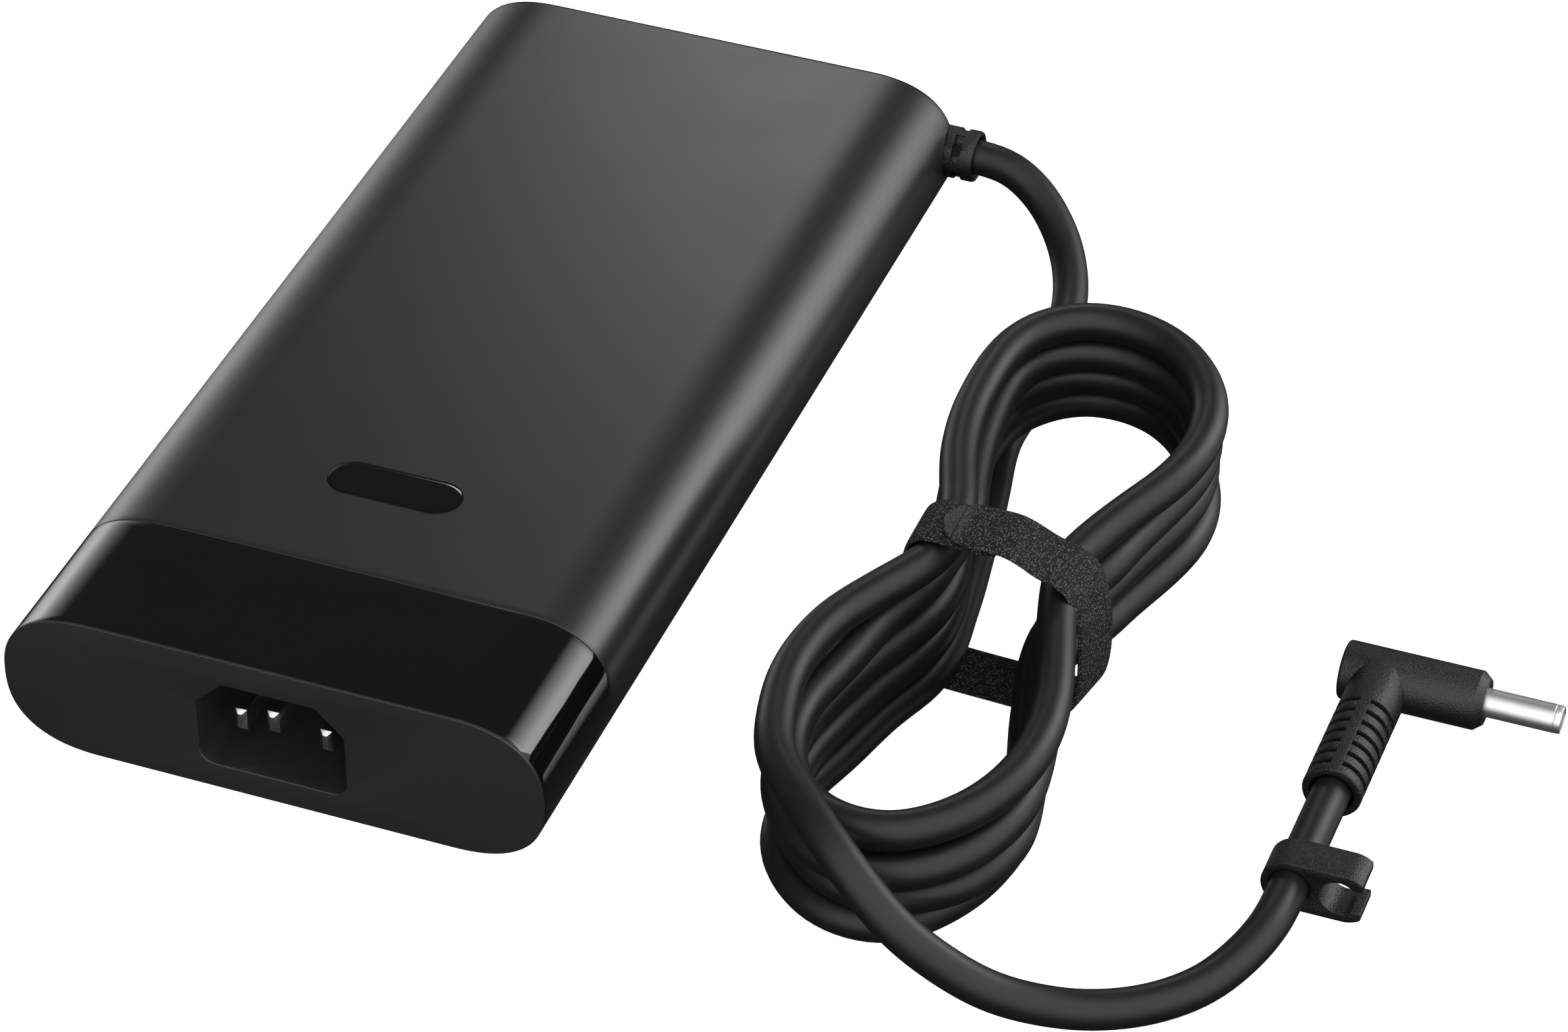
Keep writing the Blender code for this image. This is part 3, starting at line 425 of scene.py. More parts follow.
def new_material(name, colour, roughness, metallic=0.0):
    """A material and its shader."""
    made = bpy.data.materials.new(name)
    made.use_nodes = True
    shader = made.node_tree.nodes["Principled BSDF"]
    shader.inputs["Base Color"].default_value = (*colour, 1.0)
    shader.inputs["Roughness"].default_value = roughness
    shader.inputs["Metallic"].default_value = metallic
    return made, shader


def add_node(made, kind, inputs=None, **settings):
    """A node with these settings, each input linked to a socket or set to a value."""
    node = made.node_tree.nodes.new(kind)
    for name, value in settings.items():
        setattr(node, name, value)
    for name, value in (inputs or {}).items():
        if isinstance(value, bpy.types.NodeSocket):
            link(made, value, node, name)
        else:
            node.inputs[name].default_value = value
    return node


def link(made, output, node, name):
    made.node_tree.links.new(output, node.inputs[name])


def place_of(made, stretch=(1, 1, 1)):
    """The point's place on the object in metres, stretched along each axis."""
    where = add_node(made, "ShaderNodeTexCoord").outputs["Object"]
    return add_node(made, "ShaderNodeMapping", {"Vector": where, "Scale": stretch}).outputs["Vector"]


def noise(made, place, size, detail=3.0, roughness=0.5):
    """Noise whose features are about size millimetres wide."""
    inputs = {"Vector": place, "Scale": 1 / (size * MM), "Detail": detail, "Roughness": roughness}
    return add_node(made, "ShaderNodeTexNoise", inputs).outputs["Fac"]


def ranged(made, value, low, high, to_low, to_high):
    """Maps value from low..high to to_low..to_high, and holds it there beyond them."""
    inputs = {"Value": value, "From Min": low, "From Max": high, "To Min": to_low, "To Max": to_high}
    return add_node(made, "ShaderNodeMapRange", inputs).outputs["Result"]


def multiplied(made, first, second):
    return add_node(made, "ShaderNodeMath", {0: first, 1: second}, operation="MULTIPLY").outputs[0]


def combined(made, first, second, share):
    """first + share * second."""
    inputs = {0: second, 1: share, 2: first}
    return add_node(made, "ShaderNodeMath", inputs, operation="MULTIPLY_ADD").outputs[0]


def coloured(made, shader, factor, first, second):
    """Takes the colour from first to second as factor goes from 0 to 1."""
    inputs = {"Factor": factor, "A": (*first, 1.0), "B": (*second, 1.0)}
    mix = add_node(made, "ShaderNodeMix", inputs, data_type="RGBA")
    link(made, mix.outputs["Result"], shader, "Base Color")


def roughened(made, shader, value, low, high, to_low, to_high):
    """Takes the roughness from to_low to to_high as value goes from low to high."""
    link(made, ranged(made, value, low, high, to_low, to_high), shader, "Roughness")


def bumped(made, shader, height, depth):
    """Raises the surface by depth millimetres where height is 1."""
    bump = add_node(made, "ShaderNodeBump", {"Height": height, "Distance": depth * MM, "Strength": 1.0})
    link(made, bump.outputs["Normal"], shader, "Normal")


def scaled(colour, share):
    """The colour, darker or lighter by a share."""
    return tuple(channel * share for channel in colour)


# ---- camera, floor and light


def make_camera():
    """The camera at the photo's viewing angle."""
    azimuth, elevation = math.radians(AZIMUTH), math.radians(ELEVATION)
    level = math.cos(elevation)
    back = Vector((math.sin(azimuth) * level, -math.cos(azimuth) * level, math.sin(elevation)))
    data = bpy.data.cameras.new("camera")
    data.lens = LENS
    data.sensor_width = SENSOR
    data.sensor_fit = "HORIZONTAL"
    data.clip_start = 0.05
    data.clip_end = 50.0
    camera = in_scene("camera", data)
    camera.location = (Vector(AIM) + back * DISTANCE) * MM
    camera.rotation_euler = (-back).to_track_quat("-Z", "Y").to_euler()
    bpy.context.scene.camera = camera


def make_floor():
    """A pale floor that lights nothing, just under the object."""
    bpy.ops.mesh.primitive_plane_add(size=12.0, location=(0, 0, -0.0001))
    floor = bpy.context.object
    floor.name = "floor"
    made, shader = new_material("floor", (0.9, 0.9, 0.9), 0.9)
    shader.inputs["Specular IOR Level"].default_value = 0.0
    shader.inputs["Emission Color"].default_value = (1.0, 1.0, 1.0, 1.0)
    shader.inputs["Emission Strength"].default_value = FLOOR_LIGHT
    floor.data.materials.append(made)
    floor.visible_glossy = False
    floor.visible_diffuse = False
    floor.visible_shadow = False


def back_panel(name, centre, size, radiance, fades, roll=0):
    """A softbox behind the object, centred at (x, z), which faces the front.

    fades are the shares of its size over which it fades in from its low and high ends, along its width
    and then along its height. roll turns it about its own axis, in degrees.
    """
    data = bpy.data.lights.new(name, "AREA")
    data.shape = "RECTANGLE"
    data.size, data.size_y = size[0] * MM, size[1] * MM
    data.energy = radiance * math.pi * data.size * data.size_y
    light = in_scene(name, data)
    light.location = Vector((centre[0], BACK_PANELS_Y, centre[1])) * MM
    facing = Vector((0, -1, 0)).to_track_quat("-Z", "Y")
    light.rotation_euler = (facing @ Quaternion((0, 0, 1), math.radians(roll))).to_euler()
    light.visible_camera = False
    data.use_nodes = True
    across = add_node(data, "ShaderNodeNewGeometry").outputs["Parametric"]
    split = add_node(data, "ShaderNodeSeparateXYZ", {"Vector": across}).outputs
    share = 1.0
    for axis, low, high in (("X", *fades[:2]), ("Y", *fades[2:])):
        for start, width in ((0.0, low), (1.0, -high)):
            if width:
                rise = ranged(data, split[axis], start, start + width, 0.0, 1.0)
                share = multiplied(data, rise, share)
    link(data, share, data.node_tree.nodes["Emission"], "Strength")


def make_world():
    """A dim room with a pale wall on the right and in front, and a pale backdrop for the camera."""
    world = bpy.data.worlds.new("studio")
    bpy.context.scene.world = world
    world.use_nodes = True
    background = world.node_tree.nodes["Background"]
    background.inputs["Color"].default_value = (1.0, 1.0, 1.0, 1.0)
    way = add_node(world, "ShaderNodeTexCoord").outputs["Generated"]
    towards = add_node(world, "ShaderNodeVectorMath", {0: way, 1: WALL_SIDE}, operation="DOT_PRODUCT")
    height = add_node(world, "ShaderNodeSeparateXYZ", {"Vector": way}).outputs["Z"]
    beside = ranged(world, towards.outputs["Value"], -0.2, 0.25, 0.0, 1.0)
    above = ranged(world, height, -0.4, 0.2, 0.0, 1.0)
    lit = multiplied(world, beside, above)
    dim = ranged(world, height, -0.5, 0.0, ROOM_LIGHT / 3, ROOM_LIGHT)
    room = combined(world, dim, lit, WALL_LIGHT)
    seen = add_node(world, "ShaderNodeLightPath").outputs["Is Camera Ray"]
    backdrop = add_node(world, "ShaderNodeMath", {0: room, 1: seen}, operation="MAXIMUM")
    link(world, backdrop.outputs[0], background, "Strength")


def make_lights():
    """The softboxes that draw the highlights along the case's sides and rear edge."""
    bpy.context.scene.view_settings.view_transform = "Standard"
    back_panel("back_left", (-850, 40), (1000, 880), 3.3, (0.5, 0.5, 0.51, 0.41))
    back_panel("back_middle", (-150, 375), (220, 120), 6.3, (0.15, 0.15, 0.15, 0.15))
    back_panel("back_right", (511, 347), (532, 950), 5.1, (0.0, 0.716, 0.58, 0.0), roll=24)
    back_panel("back_low", (600, -370), (300, 200), 1.1, (0.1, 0.1, 0.8, 0.0))


# ---- materials


def plastic(name, colour, roughness, grain=0.25, depth=0.004, spread=0.04, specular=0.5):
    """Moulded plastic: a fine grain, faint clouds in its gloss and a little variation in its colour."""
    made, shader = new_material(name, colour, roughness)
    shader.inputs["Specular IOR Level"].default_value = specular
    place = place_of(made)
    clouds = noise(made, place, 14.0)
    coloured(made, shader, clouds, scaled(colour, 0.88), scaled(colour, 1.12))
    fine = noise(made, place, grain, detail=2.0)
    mottle = combined(made, clouds, fine, 0.5)
    roughened(made, shader, mottle, 0.45, 1.05, roughness - spread, roughness + spread)
    bumped(made, shader, fine, depth)
    return made


def spark_eroded(name, colour, roughness):
    """Plastic from a spark-eroded mould: small flat-topped pebbles with fine pits between them."""
    made, shader = new_material(name, colour, roughness)
    shader.inputs["Specular IOR Level"].default_value = 0.65
    place = place_of(made)
    lumps = noise(made, place, 0.26, detail=2.0, roughness=0.55)
    pebbles = ranged(made, lumps, 0.35, 0.65, 0.0, 1.0)
    pits = noise(made, place, 0.10, detail=2.0)
    coloured(made, shader, pebbles, scaled(colour, 0.8), scaled(colour, 1.25))
    roughened(made, shader, pebbles, 0.0, 1.0, roughness + 0.08, roughness - 0.06)
    bumped(made, shader, combined(made, pebbles, pits, 0.35), 0.045)
    return made


def cord_jacket(name, colour, roughness):
    """Extruded jacket: smooth, with faint waviness, handling marks and fine dust."""
    made, shader = new_material(name, colour, roughness)
    place = place_of(made)
    waves = noise(made, place, 9.0, detail=2.0)
    marks = noise(made, place, 0.9, detail=4.0, roughness=0.65)
    dust = noise(made, place, 0.08, detail=1.0)
    coloured(made, shader, marks, scaled(colour, 0.85), scaled(colour, 1.2))
    mottle = combined(made, waves, marks, 0.8)
    roughened(made, shader, mottle, 0.5, 1.3, roughness - 0.05, roughness + 0.06)
    bumped(made, shader, combined(made, combined(made, waves, marks, 0.06), dust, 0.03), 0.05)
    return made


def hook_and_loop(name, colour):
    """Knitted loop fabric: dark with painted glints on its loops' crowns, pressed smooth near the tip,
    with a line across.
    """
    made, shader = new_material(name, colour, 0.7)
    shader.inputs["Specular IOR Level"].default_value = 0.25
    along = add_node(made, "ShaderNodeUVMap", uv_map="length").outputs["UV"]
    from_tip = add_node(made, "ShaderNodeSeparateXYZ", {"Vector": along}).outputs["X"]
    stretch = {"Vector": along, "Scale": (1.0, 1.25, 1.0)}
    place = add_node(made, "ShaderNodeMapping", stretch).outputs["Vector"]
    wavy = {"Vector": place, "Scale": 1.1, "Detail": 2.0}
    wobble = add_node(made, "ShaderNodeTexNoise", wavy).outputs["Color"]
    halved = {0: wobble, 1: (0.5, 0.5, 0.5)}
    shift = add_node(made, "ShaderNodeVectorMath", halved, operation="MULTIPLY").outputs[0]
    moved = add_node(made, "ShaderNodeVectorMath", {0: place, 1: shift}, operation="ADD").outputs[0]

    spaced = {"Vector": moved, "Scale": 2.2, "Randomness": 0.6}
    loops = add_node(made, "ShaderNodeTexVoronoi", spaced).outputs["Distance"]
    crowns = ranged(made, loops, 0.10, 0.48, 1.0, 0.0)
    fine = {"Vector": moved, "Scale": 5.0, "Detail": 3.0}
    threads = add_node(made, "ShaderNodeTexNoise", fine).outputs["Fac"]
    # Painted highlights: the loops' crowns are made much lighter in the colour, standing in for glints
    # of light on them
    painted_glints = multiplied(made, crowns, ranged(made, threads, 0.34, 0.62, 0.1, 1.0))

    knit = ranged(made, from_tip, TIP_PRESSED, TIP_KNIT, 0.5, 1.0)
    pressed = ranged(made, from_tip, TIP_PRESSED, TIP_KNIT, 0.12, 0.0)
    falls = ranged(made, from_tip, TIP_LINE_MIDDLE, TIP_LINE_END, 1.0, 0.0)
    rises = ranged(made, from_tip, TIP_LINE_START, TIP_LINE_MIDDLE, 0.0, 1.0)
    line = multiplied(made, falls, rises)
    tone = combined(made, combined(made, pressed, painted_glints, knit), line, -0.2)
    coloured(made, shader, tone, scaled(colour, 0.18), scaled(colour, 6.6))
    flat = ranged(made, from_tip, TIP_PRESSED, TIP_KNIT, 0.5, 0.0)
    bumped(made, shader, combined(made, flat, combined(made, crowns, threads, 0.55), knit), 0.2)
    return made


def metal(name, colour, roughness, stretch, spread=0.06):
    """Plated metal with fine marks drawn out along one way."""
    made, shader = new_material(name, colour, roughness, 1.0)
    marks = noise(made, place_of(made, stretch), 0.12, detail=3.0)
    clouds = noise(made, place_of(made), 2.5, detail=2.0)
    coloured(made, shader, clouds, scaled(colour, 0.9), colour)
    roughened(made, shader, marks, 0.3, 0.7, roughness - spread, roughness + spread)
    bumped(made, shader, marks, 0.003)
    return made


def wound(name, colour, roughness, wire, metallic):
    """Turns of wire or tape side by side, each wire millimetres wide."""
    made, shader = new_material(name, colour, roughness, metallic)
    place = place_of(made)
    inputs = {"Vector": place, "Scale": 0.5 / (wire * MM) / math.pi, "Distortion": 0.3, "Detail": 1.0}
    turns = add_node(made, "ShaderNodeTexWave", inputs, bands_direction="DIAGONAL").outputs["Fac"]
    coloured(made, shader, turns, scaled(colour, 0.45), colour)
    clouds = noise(made, place, 1.5)
    roughened(made, shader, clouds, 0.3, 0.7, roughness - 0.05, roughness + 0.08)
    bumped(made, shader, turns, wire / 3)
    return made


def solder_mask(name, colour):
    """A lacquered board with faint copper tracks under the lacquer."""
    made, shader = new_material(name, colour, 0.35)
    place = place_of(made)
    inputs = {"Vector": place, "Scale": 160.0, "Randomness": 0.55}
    tracks = add_node(made, "ShaderNodeTexVoronoi", inputs, distance="CHEBYCHEV").outputs["Distance"]
    raised = ranged(made, tracks, 0.28, 0.34, 0.0, 1.0)
    coloured(made, shader, raised, colour, scaled(colour, 1.7))
    clouds = noise(made, place, 3.0)
    roughened(made, shader, clouds, 0.3, 0.7, 0.28, 0.42)
    bumped(made, shader, raised, 0.03)
    return made


def make_finishes():
    """One material for each of the record's material slots."""
    plastics = {
        "satin_case": ((0.0105, 0.0105, 0.0108), 0.35,
                       {"grain": 0.16, "depth": 0.0025, "spread": 0.015, "specular": 0.75}),
        "front_satin": ((0.022, 0.022, 0.0226), 0.38, {"grain": 0.16, "depth": 0.0025, "spread": 0.02}),
        "gloss_band": ((0.004, 0.004, 0.0042), 0.07, {"grain": 6.0, "depth": 0.002, "spread": 0.012}),
        "label": ((0.05, 0.05, 0.052), 0.5, {"grain": 0.12, "depth": 0.002}),
        "insulator": ((0.008, 0.008, 0.008), 0.5, {}),
        "film": ((0.80, 0.78, 0.70), 0.4, {"grain": 2.0, "depth": 0.01}),
        "ceramic": ((0.75, 0.73, 0.68), 0.4, {"grain": 0.5, "depth": 0.01}),
        "blue_lacquer": ((0.04, 0.12, 0.35), 0.32, {"grain": 1.6, "depth": 0.05}),
        "yellow_box": ((0.70, 0.52, 0.08), 0.4, {"grain": 0.3, "depth": 0.006}),
        "ferrite": ((0.06, 0.06, 0.065), 0.6, {"grain": 0.2, "depth": 0.012}),
        "black_epoxy": ((0.02, 0.02, 0.02), 0.55, {"grain": 0.2, "depth": 0.01}),
        "can_sleeve": ((0.03, 0.05, 0.10), 0.35, {"grain": 1.2, "depth": 0.01}),
        "wire_black": ((0.02, 0.02, 0.02), 0.4, {"grain": 0.6}),
        "wire_white": ((0.7, 0.7, 0.7), 0.4, {"grain": 0.6}),
    }
    finish = {}
    for name, (colour, roughness, look) in plastics.items():
        finish[name] = plastic(name, colour, roughness, **look)
    drawn_along_y, drawn_along_x = (1, 12, 1), (12, 1, 1)
    others = (
        (spark_eroded, "moulding", (0.0045, 0.0045, 0.0047), 0.31),
        (cord_jacket, "cord", (0.0062, 0.0062, 0.0064), 0.44),
        (hook_and_loop, "hook_and_loop", (0.040, 0.040, 0.041)),
        (metal, "plated_blade", (0.75, 0.75, 0.76), 0.24, drawn_along_y),
        (metal, "nickel", (0.93, 0.92, 0.91), 0.38, drawn_along_x),
        (metal, "aluminium", (0.62, 0.63, 0.65), 0.34, drawn_along_y, 0.1),
        (solder_mask, "board", (0.03, 0.13, 0.06)),
        (wound, "copper", (0.65, 0.28, 0.13), 0.32, 0.6, 1.0),
        (wound, "tape", (0.68, 0.60, 0.14), 0.38, 5.0, 0.0),
    )
    for make, name, *look in others:
        finish[name] = make(name, *look)
    return finish


# ---- cord


def inward_at(turn, index):
    """How far this turn lies inside the plan at an index, between the two nearest stations."""
    values = INWARD[turn]
    places = STATIONS[:len(values)]
    if index <= places[0]:
        return values[0]
    for low, high, start, end in zip(places, places[1:], values, values[1:]):
        if index <= high:
            return start + (end - start) * (index - low) / (high - low)
    return values[-1]


def turn_point(turn, index):
    """A point of the coil: the plan's point, moved in by this turn's amount and raised."""
    before, here, after = (Vector((*TURN[(index + step) % len(TURN)], 0)) for step in (-1, 0, 1))
    heading = (after - before).normalized()
    moved = here + Vector((-heading.y, heading.x, 0)) * inward_at(turn, index)
    rise = smoothstep(*TURN_RISES, index / len(TURN))
    return Vector((moved.x, moved.y, REST + 2 * CORD_RADIUS * (turn + rise)))


def cord_route():
    """The cord's centre line: the lead, the turns of the coil and the tail."""
    coil = [turn_point(turn, index) for turn in range(TURNS) for index in range(len(TURN))]
    last = [turn_point(TURNS, index) for index in range(LAST_TURN_STARTS)]
    return evened(smooth_curve([*LEAD_ROUTE, *coil, *last, *TAIL_ROUTE], CORD_STEP), CORD_EVENED)


def make_cord(finish):
    """The cord as one round curve, and its length."""
    route = cord_route()
    curve = bpy.data.curves.new("output_cord", "CURVE")
    curve.dimensions = "3D"
    curve.bevel_depth = CORD_RADIUS * MM
    curve.bevel_resolution = 14
    curve.use_fill_caps = True
    spline = curve.splines.new("POLY")
    spline.points.add(len(route) - 1)
    for point, place in zip(spline.points, route):
        point.co = (*(place * MM), 1.0)
    spline.use_smooth = True
    curve.materials.append(finish["cord"])
    cord = in_scene("output_cord", curve)
    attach(cord, BODY)
    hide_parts("cord_lead", "cord_coil", "cord_tail")
    length = sum((end - start).length for start, end in zip(route, route[1:]))
    return cord, length


# ---- strap


def strap_line():
    """The strap's centre line seen along Y: from its hidden end on top, down the left, to its tip."""
    outline = smooth_curve([(x, 0, z) for x, z in STRAP_LOOP], STRAP_STEP, closed=True)
    outline.reverse()
    count = len(outline)
    on_top = [i for i in range(count) if outline[i].z > LAP_ABOVE]
    start = min(on_top, key=lambda i: abs(outline[i].x - LAP_HIDDEN_X))
    stop = min(on_top, key=lambda i: abs(outline[i].x - LAP_TIP_X))
    total = count + (stop - start) % count
    climb = round(LAP_CLIMB / STRAP_STEP)
    line = []
    for i in range(total + 1):
        here = outline[(start + i) % count]
        heading = outline[(start + i + 1) % count] - outline[(start + i - 1) % count]
        normal = Vector((heading.z, 0, -heading.x)).normalized()
        over = smoothstep(count - climb, count + 2, i)
        line.append(here + normal * over * (STRAP_THICK + LAP_GAP))
    return evened(line, STRAP_EVENED)


def strap_middle(place):
    """Where the middle of the strap's width lies along Y, at this place on its loop."""
    return STRAP_MIDDLE - STRAP_LEAN * place.z - STRAP_TURN * (place.x - STRAP_TURN_X)


def make_strap(finish):
    """One long strip, up to a round tip that lies on top, and its length."""
    line = strap_line()
    lengths = [0.0]
    for start, end in zip(line, line[1:]):
        lengths.append(lengths[-1] + (end - start).length)
    total = lengths[-1]
    half = STRAP_WIDTH / 2
    rings = []
    for i, point in enumerate(line):
        heading = (line[min(i + 1, len(line) - 1)] - line[max(i - 1, 0)]).normalized()
        normal = Vector((heading.z, 0, -heading.x))
        to_tip = min((total - lengths[i]) / TIP_LENGTH, 1.0)
        wide = half * math.sqrt(max(1 - (1 - to_tip) ** 2, 0.01))
        middle = strap_middle(point)
        on_right = smoothstep(*STRAP_SPLAY_X, point.x)
        higher = smoothstep(*STRAP_SPLAY_Z, point.z)
        near_splay = STRAP_SPLAY + (STRAP_SPLAY_UPPER - STRAP_SPLAY) * higher
        ring = []
        for side in (1, -1):
            for step in range(STRAP_ACROSS + 1):
                share = side * (2 * step / STRAP_ACROSS - 1)
                crown = STRAP_THICK / 2 * max(1 - abs(share) ** 10, 0.0) ** 0.5
                splay = STRAP_SPLAY if share > 0 else near_splay
                flare = splay * share * wide * on_right
                place = Vector((point.x + flare, middle + share * wide, point.z))
                ring.append(place + normal * max(crown, STRAP_THIN_EDGE) * side)
        rings.append(ring)
    bm = skin_mesh(rings, closed=False)
    mark_length(bm, len(rings[0]), [total - length for length in lengths])
    strap = new_piece("cord_strap", bm, finish, "hook_and_loop", ["tie_strap"], sharp=60)
    return strap, total


def mark_length(bm, per_ring, from_tip):
    """UV coordinates in millimetres: the distance from the tip, and the way across."""
    uv = bm.loops.layers.uv.new("length")
    bm.verts.index_update()
    for face in bm.faces:
        for loop in face.loops:
            place = loop.vert.co
            loop[uv].uv = (from_tip[loop.vert.index // per_ring], place.y - strap_middle(place))


# ---- case


def case_ring(inset, y):
    """The case's outline at y, moved in by inset, with extra points that keep the flats flat."""
    flat = CASE_WIDTH / 2 - SIDE_WIDTH
    wide, tall = SIDE_WIDTH - inset, CASE_HEIGHT / 2 - inset
    corner = []
    for step in range(CORNER_STEPS + 1):
        angle = math.pi / 2 * step / CORNER_STEPS
        side = max(math.cos(angle), 0.0) ** (2 / SIDE_POWER)
        up = math.sin(angle) ** (2 / SIDE_POWER)
        corner.append((flat + wide * side, tall * up))
    corner += [(flat - 0.7, tall), (flat - 3.0, tall)]
    upper = corner + [(-x, z) for x, z in reversed(corner)]
    lower = [(-x, -z) for x, z in corner[1:]] + [(x, -z) for x, z in reversed(corner[1:])]
    return [(x, y, MIDDLE + z) for x, z in upper + lower]


def edge_profile(y, inward, size, steps=4):
    """A rounded edge from the end face at y, as (inset, y). inward is the way to the part's middle."""
    points = []
    for step in range(steps + 1):
        angle = math.pi / 2 * step / steps
        points.append((size * (1 - math.sin(angle)), y + inward * size * (1 - math.cos(angle))))
    return points


def case_piece(name, profile, finish, slot, node, closed=True):
    """A part of the case from its profile of (inset, y)."""
    bm = skin_mesh([case_ring(inset, y) for inset, y in profile], closed)
    return new_piece(name, bm, finish, slot, [node])


def gland_notch():
    """The room for the gland in the sleeve and the rear cover."""
    radius = GLAND_RADIUS + GLAND_ROOM
    start = (CASE_WIDTH / 2 - 8, GLAND_Y, GLAND_Z)
    return turned_mesh([(radius, 0), (radius, 12)], start, (1, 0, 0), 64)


def make_sleeve(finish):
    """The sleeve, with room for the badge, the label and the gland."""
    start, end = SEAM + LINE / 2, REAR
    profile = [
        *edge_profile(start, 1, SEAM_EDGE), (0, start + EVEN_SHADING), (0, start + 8), (0, end - 9),
        (0, end - 1.4), *reversed(edge_profile(end, -1, REAR_EDGE)), (WALL, end), (WALL, start),
    ]
    sleeve = case_piece("case_sleeve", profile, finish, "satin_case", "body_sleeve")
    low, high = box_mm("badge_inlay")
    recess = pill_mesh(low, high, [(BADGE_ROOM, high.z - BADGE_DEPTH), (BADGE_ROOM, high.z + 1)])
    low, high = box_mm("rating_label")
    room = Vector((LABEL_ROOM, LABEL_ROOM, LABEL_ROOM))
    pocket = box_mesh(low - Vector((LABEL_ROOM, LABEL_ROOM, 2)), high + room)
    cut(sleeve, gland_notch(), recess, pocket)


def pill_outline(low, high, grow, steps=32):
    """A pill's outline as (x, y) that fills the box from low to high, grown by grow."""
    radius = (high.y - low.y) / 2 + grow
    y = (low.y + high.y) / 2
    right, left = high.x + grow - radius, low.x - grow + radius
    return arc((right, y), radius, -90, 90, steps) + arc((left, y), radius, 90, 270, steps)


def pill_mesh(low, high, levels):
    """A solid with a pill's outline, given as (how far it is grown, z) at each level."""
    rings = [[(x, y, z) for x, y in pill_outline(low, high, grow)] for grow, z in levels]
    return skin_mesh(rings, closed=False)


def make_badge(finish):
    """The plain oval inlay, slightly crowned, with a rounded rim."""
    low, high = box_mm("badge_inlay")
    top = high.z
    levels = [(0.0, low.z), (0.0, top - 0.18), (-0.06, top - 0.06), (-0.2, top), (-0.8, top + 0.02)]
    new_piece("badge", pill_mesh(low, high, levels), finish, "gloss_band", ["badge_inlay"])


def make_label(finish):
    """The label under the case, left blank."""
    slab = box_mesh(*box_mm("rating_label"))
    label = new_piece("blank_label", slab, finish, "label", ["rating_label"])
    soften(label, 0.12)


def make_band(finish):
    """The glossy band, which plugs into the sleeve and holds the face plate."""
    start, end = FRONT + PLATE_RIM + LINE, SEAM - LINE / 2
    inner = FRONT + PLATE + 0.02
    seat = PLATE_STEP + 0.05
    spigot_end = end + BAND_SPIGOT
    profile = [
        *edge_profile(start, 1, SEAM_EDGE), (0, start + EVEN_SHADING), (0, end - EVEN_SHADING),
        *reversed(edge_profile(end, -1, SEAM_EDGE)), (SPIGOT, end), (SPIGOT, spigot_end),
        (SPIGOT_INNER, spigot_end), (SPIGOT_INNER, end - 2.5), (WALL, end - 3.5),
        (WALL, inner), (seat, inner), (seat, start),
    ]
    case_piece("case_front_band", profile, finish, "gloss_band", "front_band")


def inlet_mesh(levels):
    """A solid with the inlet's outline, given as (how far it is grown, y) at each level."""
    rings = []
    for grow, y in levels:
        half, low, high = INLET_HALF + grow, INLET_LOW - grow, INLET_HIGH + grow
        lean = INLET_CHAMFER + grow * (2 - math.sqrt(2))
        bottom, top = INLET_CORNER + grow, INLET_TOP_CORNER
        outline = rounded([
            (-half, low, bottom), (half, low, bottom), (half, high - lean, top),
            (half - lean, high, top), (-half + lean, high, top), (-half, high - lean, top),
        ])
        rings.append([(x, y, z) for x, z in outline])
    return skin_mesh(rings, closed=False)


def make_front(finish):
    """The front face, with small rounded edges outside and round its mouth."""
    back, rim = FRONT + PLATE, FRONT + PLATE_RIM
    profile = [*edge_profile(FRONT, 1, FACE_EDGE), (0, rim), (PLATE_STEP, rim), (PLATE_STEP, back)]
    face = case_piece("case_front_face", profile, finish, "front_satin", "front_plate", closed=False)
    lip = edge_profile(FRONT, 1, MOUTH_EDGE, steps=5)
    cut(face, inlet_mesh([(MOUTH_EDGE + 1.0, FRONT - 1.0), *lip, (0.0, back + 1)]))


def make_inlet(finish):
    """The inlet's housing: a cup behind the face, whose floor holds the blades."""
    start, floor = FRONT + PLATE + 0.02, FRONT + INLET_DEPTH
    outside = inlet_mesh([(INLET_WALL, start), (INLET_WALL, floor + INLET_WALL)])
    housing = new_piece("inlet_moulding", outside, finish, "front_satin", ["inlet_housing"])
    inside = inlet_mesh([(0.0, start - 1), (0.0, floor - 0.6), (-0.2, floor - 0.2), (-0.6, floor)])
    slots = []
    for node in BLADES:
        low, high = box_mm(node)
        room = Vector((BLADE_ROOM, 0, BLADE_ROOM))
        first, last = Vector((low.x, floor - 1, low.z)), Vector((high.x, floor + 3, high.z))
        slots.append(box_mesh(first - room, last + room))
    cut(housing, inside, *slots)
    for node in BLADES:
        make_blade(node, finish)


def make_blade(node, finish):
    """A flat blade with a tapered tip."""
    low, high = box_mm(node)
    x, z = (low.x + high.x) / 2, (low.z + high.z) / 2
    wide, tall = (high.x - low.x) / 2, (high.z - low.z) / 2
    rings = []
    for shrink, y in ((BLADE_TAPER, low.y), (0.0, low.y + BLADE_TAPER), (0.0, high.y)):
        right, up = wide - shrink, tall - shrink
        rings.append([(x + a * right, y, z + b * up) for a, b in ((-1, -1), (1, -1), (1, 1), (-1, 1))])
    name = node.replace("blade", "pin")
    blade = new_piece(name, skin_mesh(rings, False), finish, "plated_blade", [node])
    soften(blade, 0.09, segments=2, angle=20)


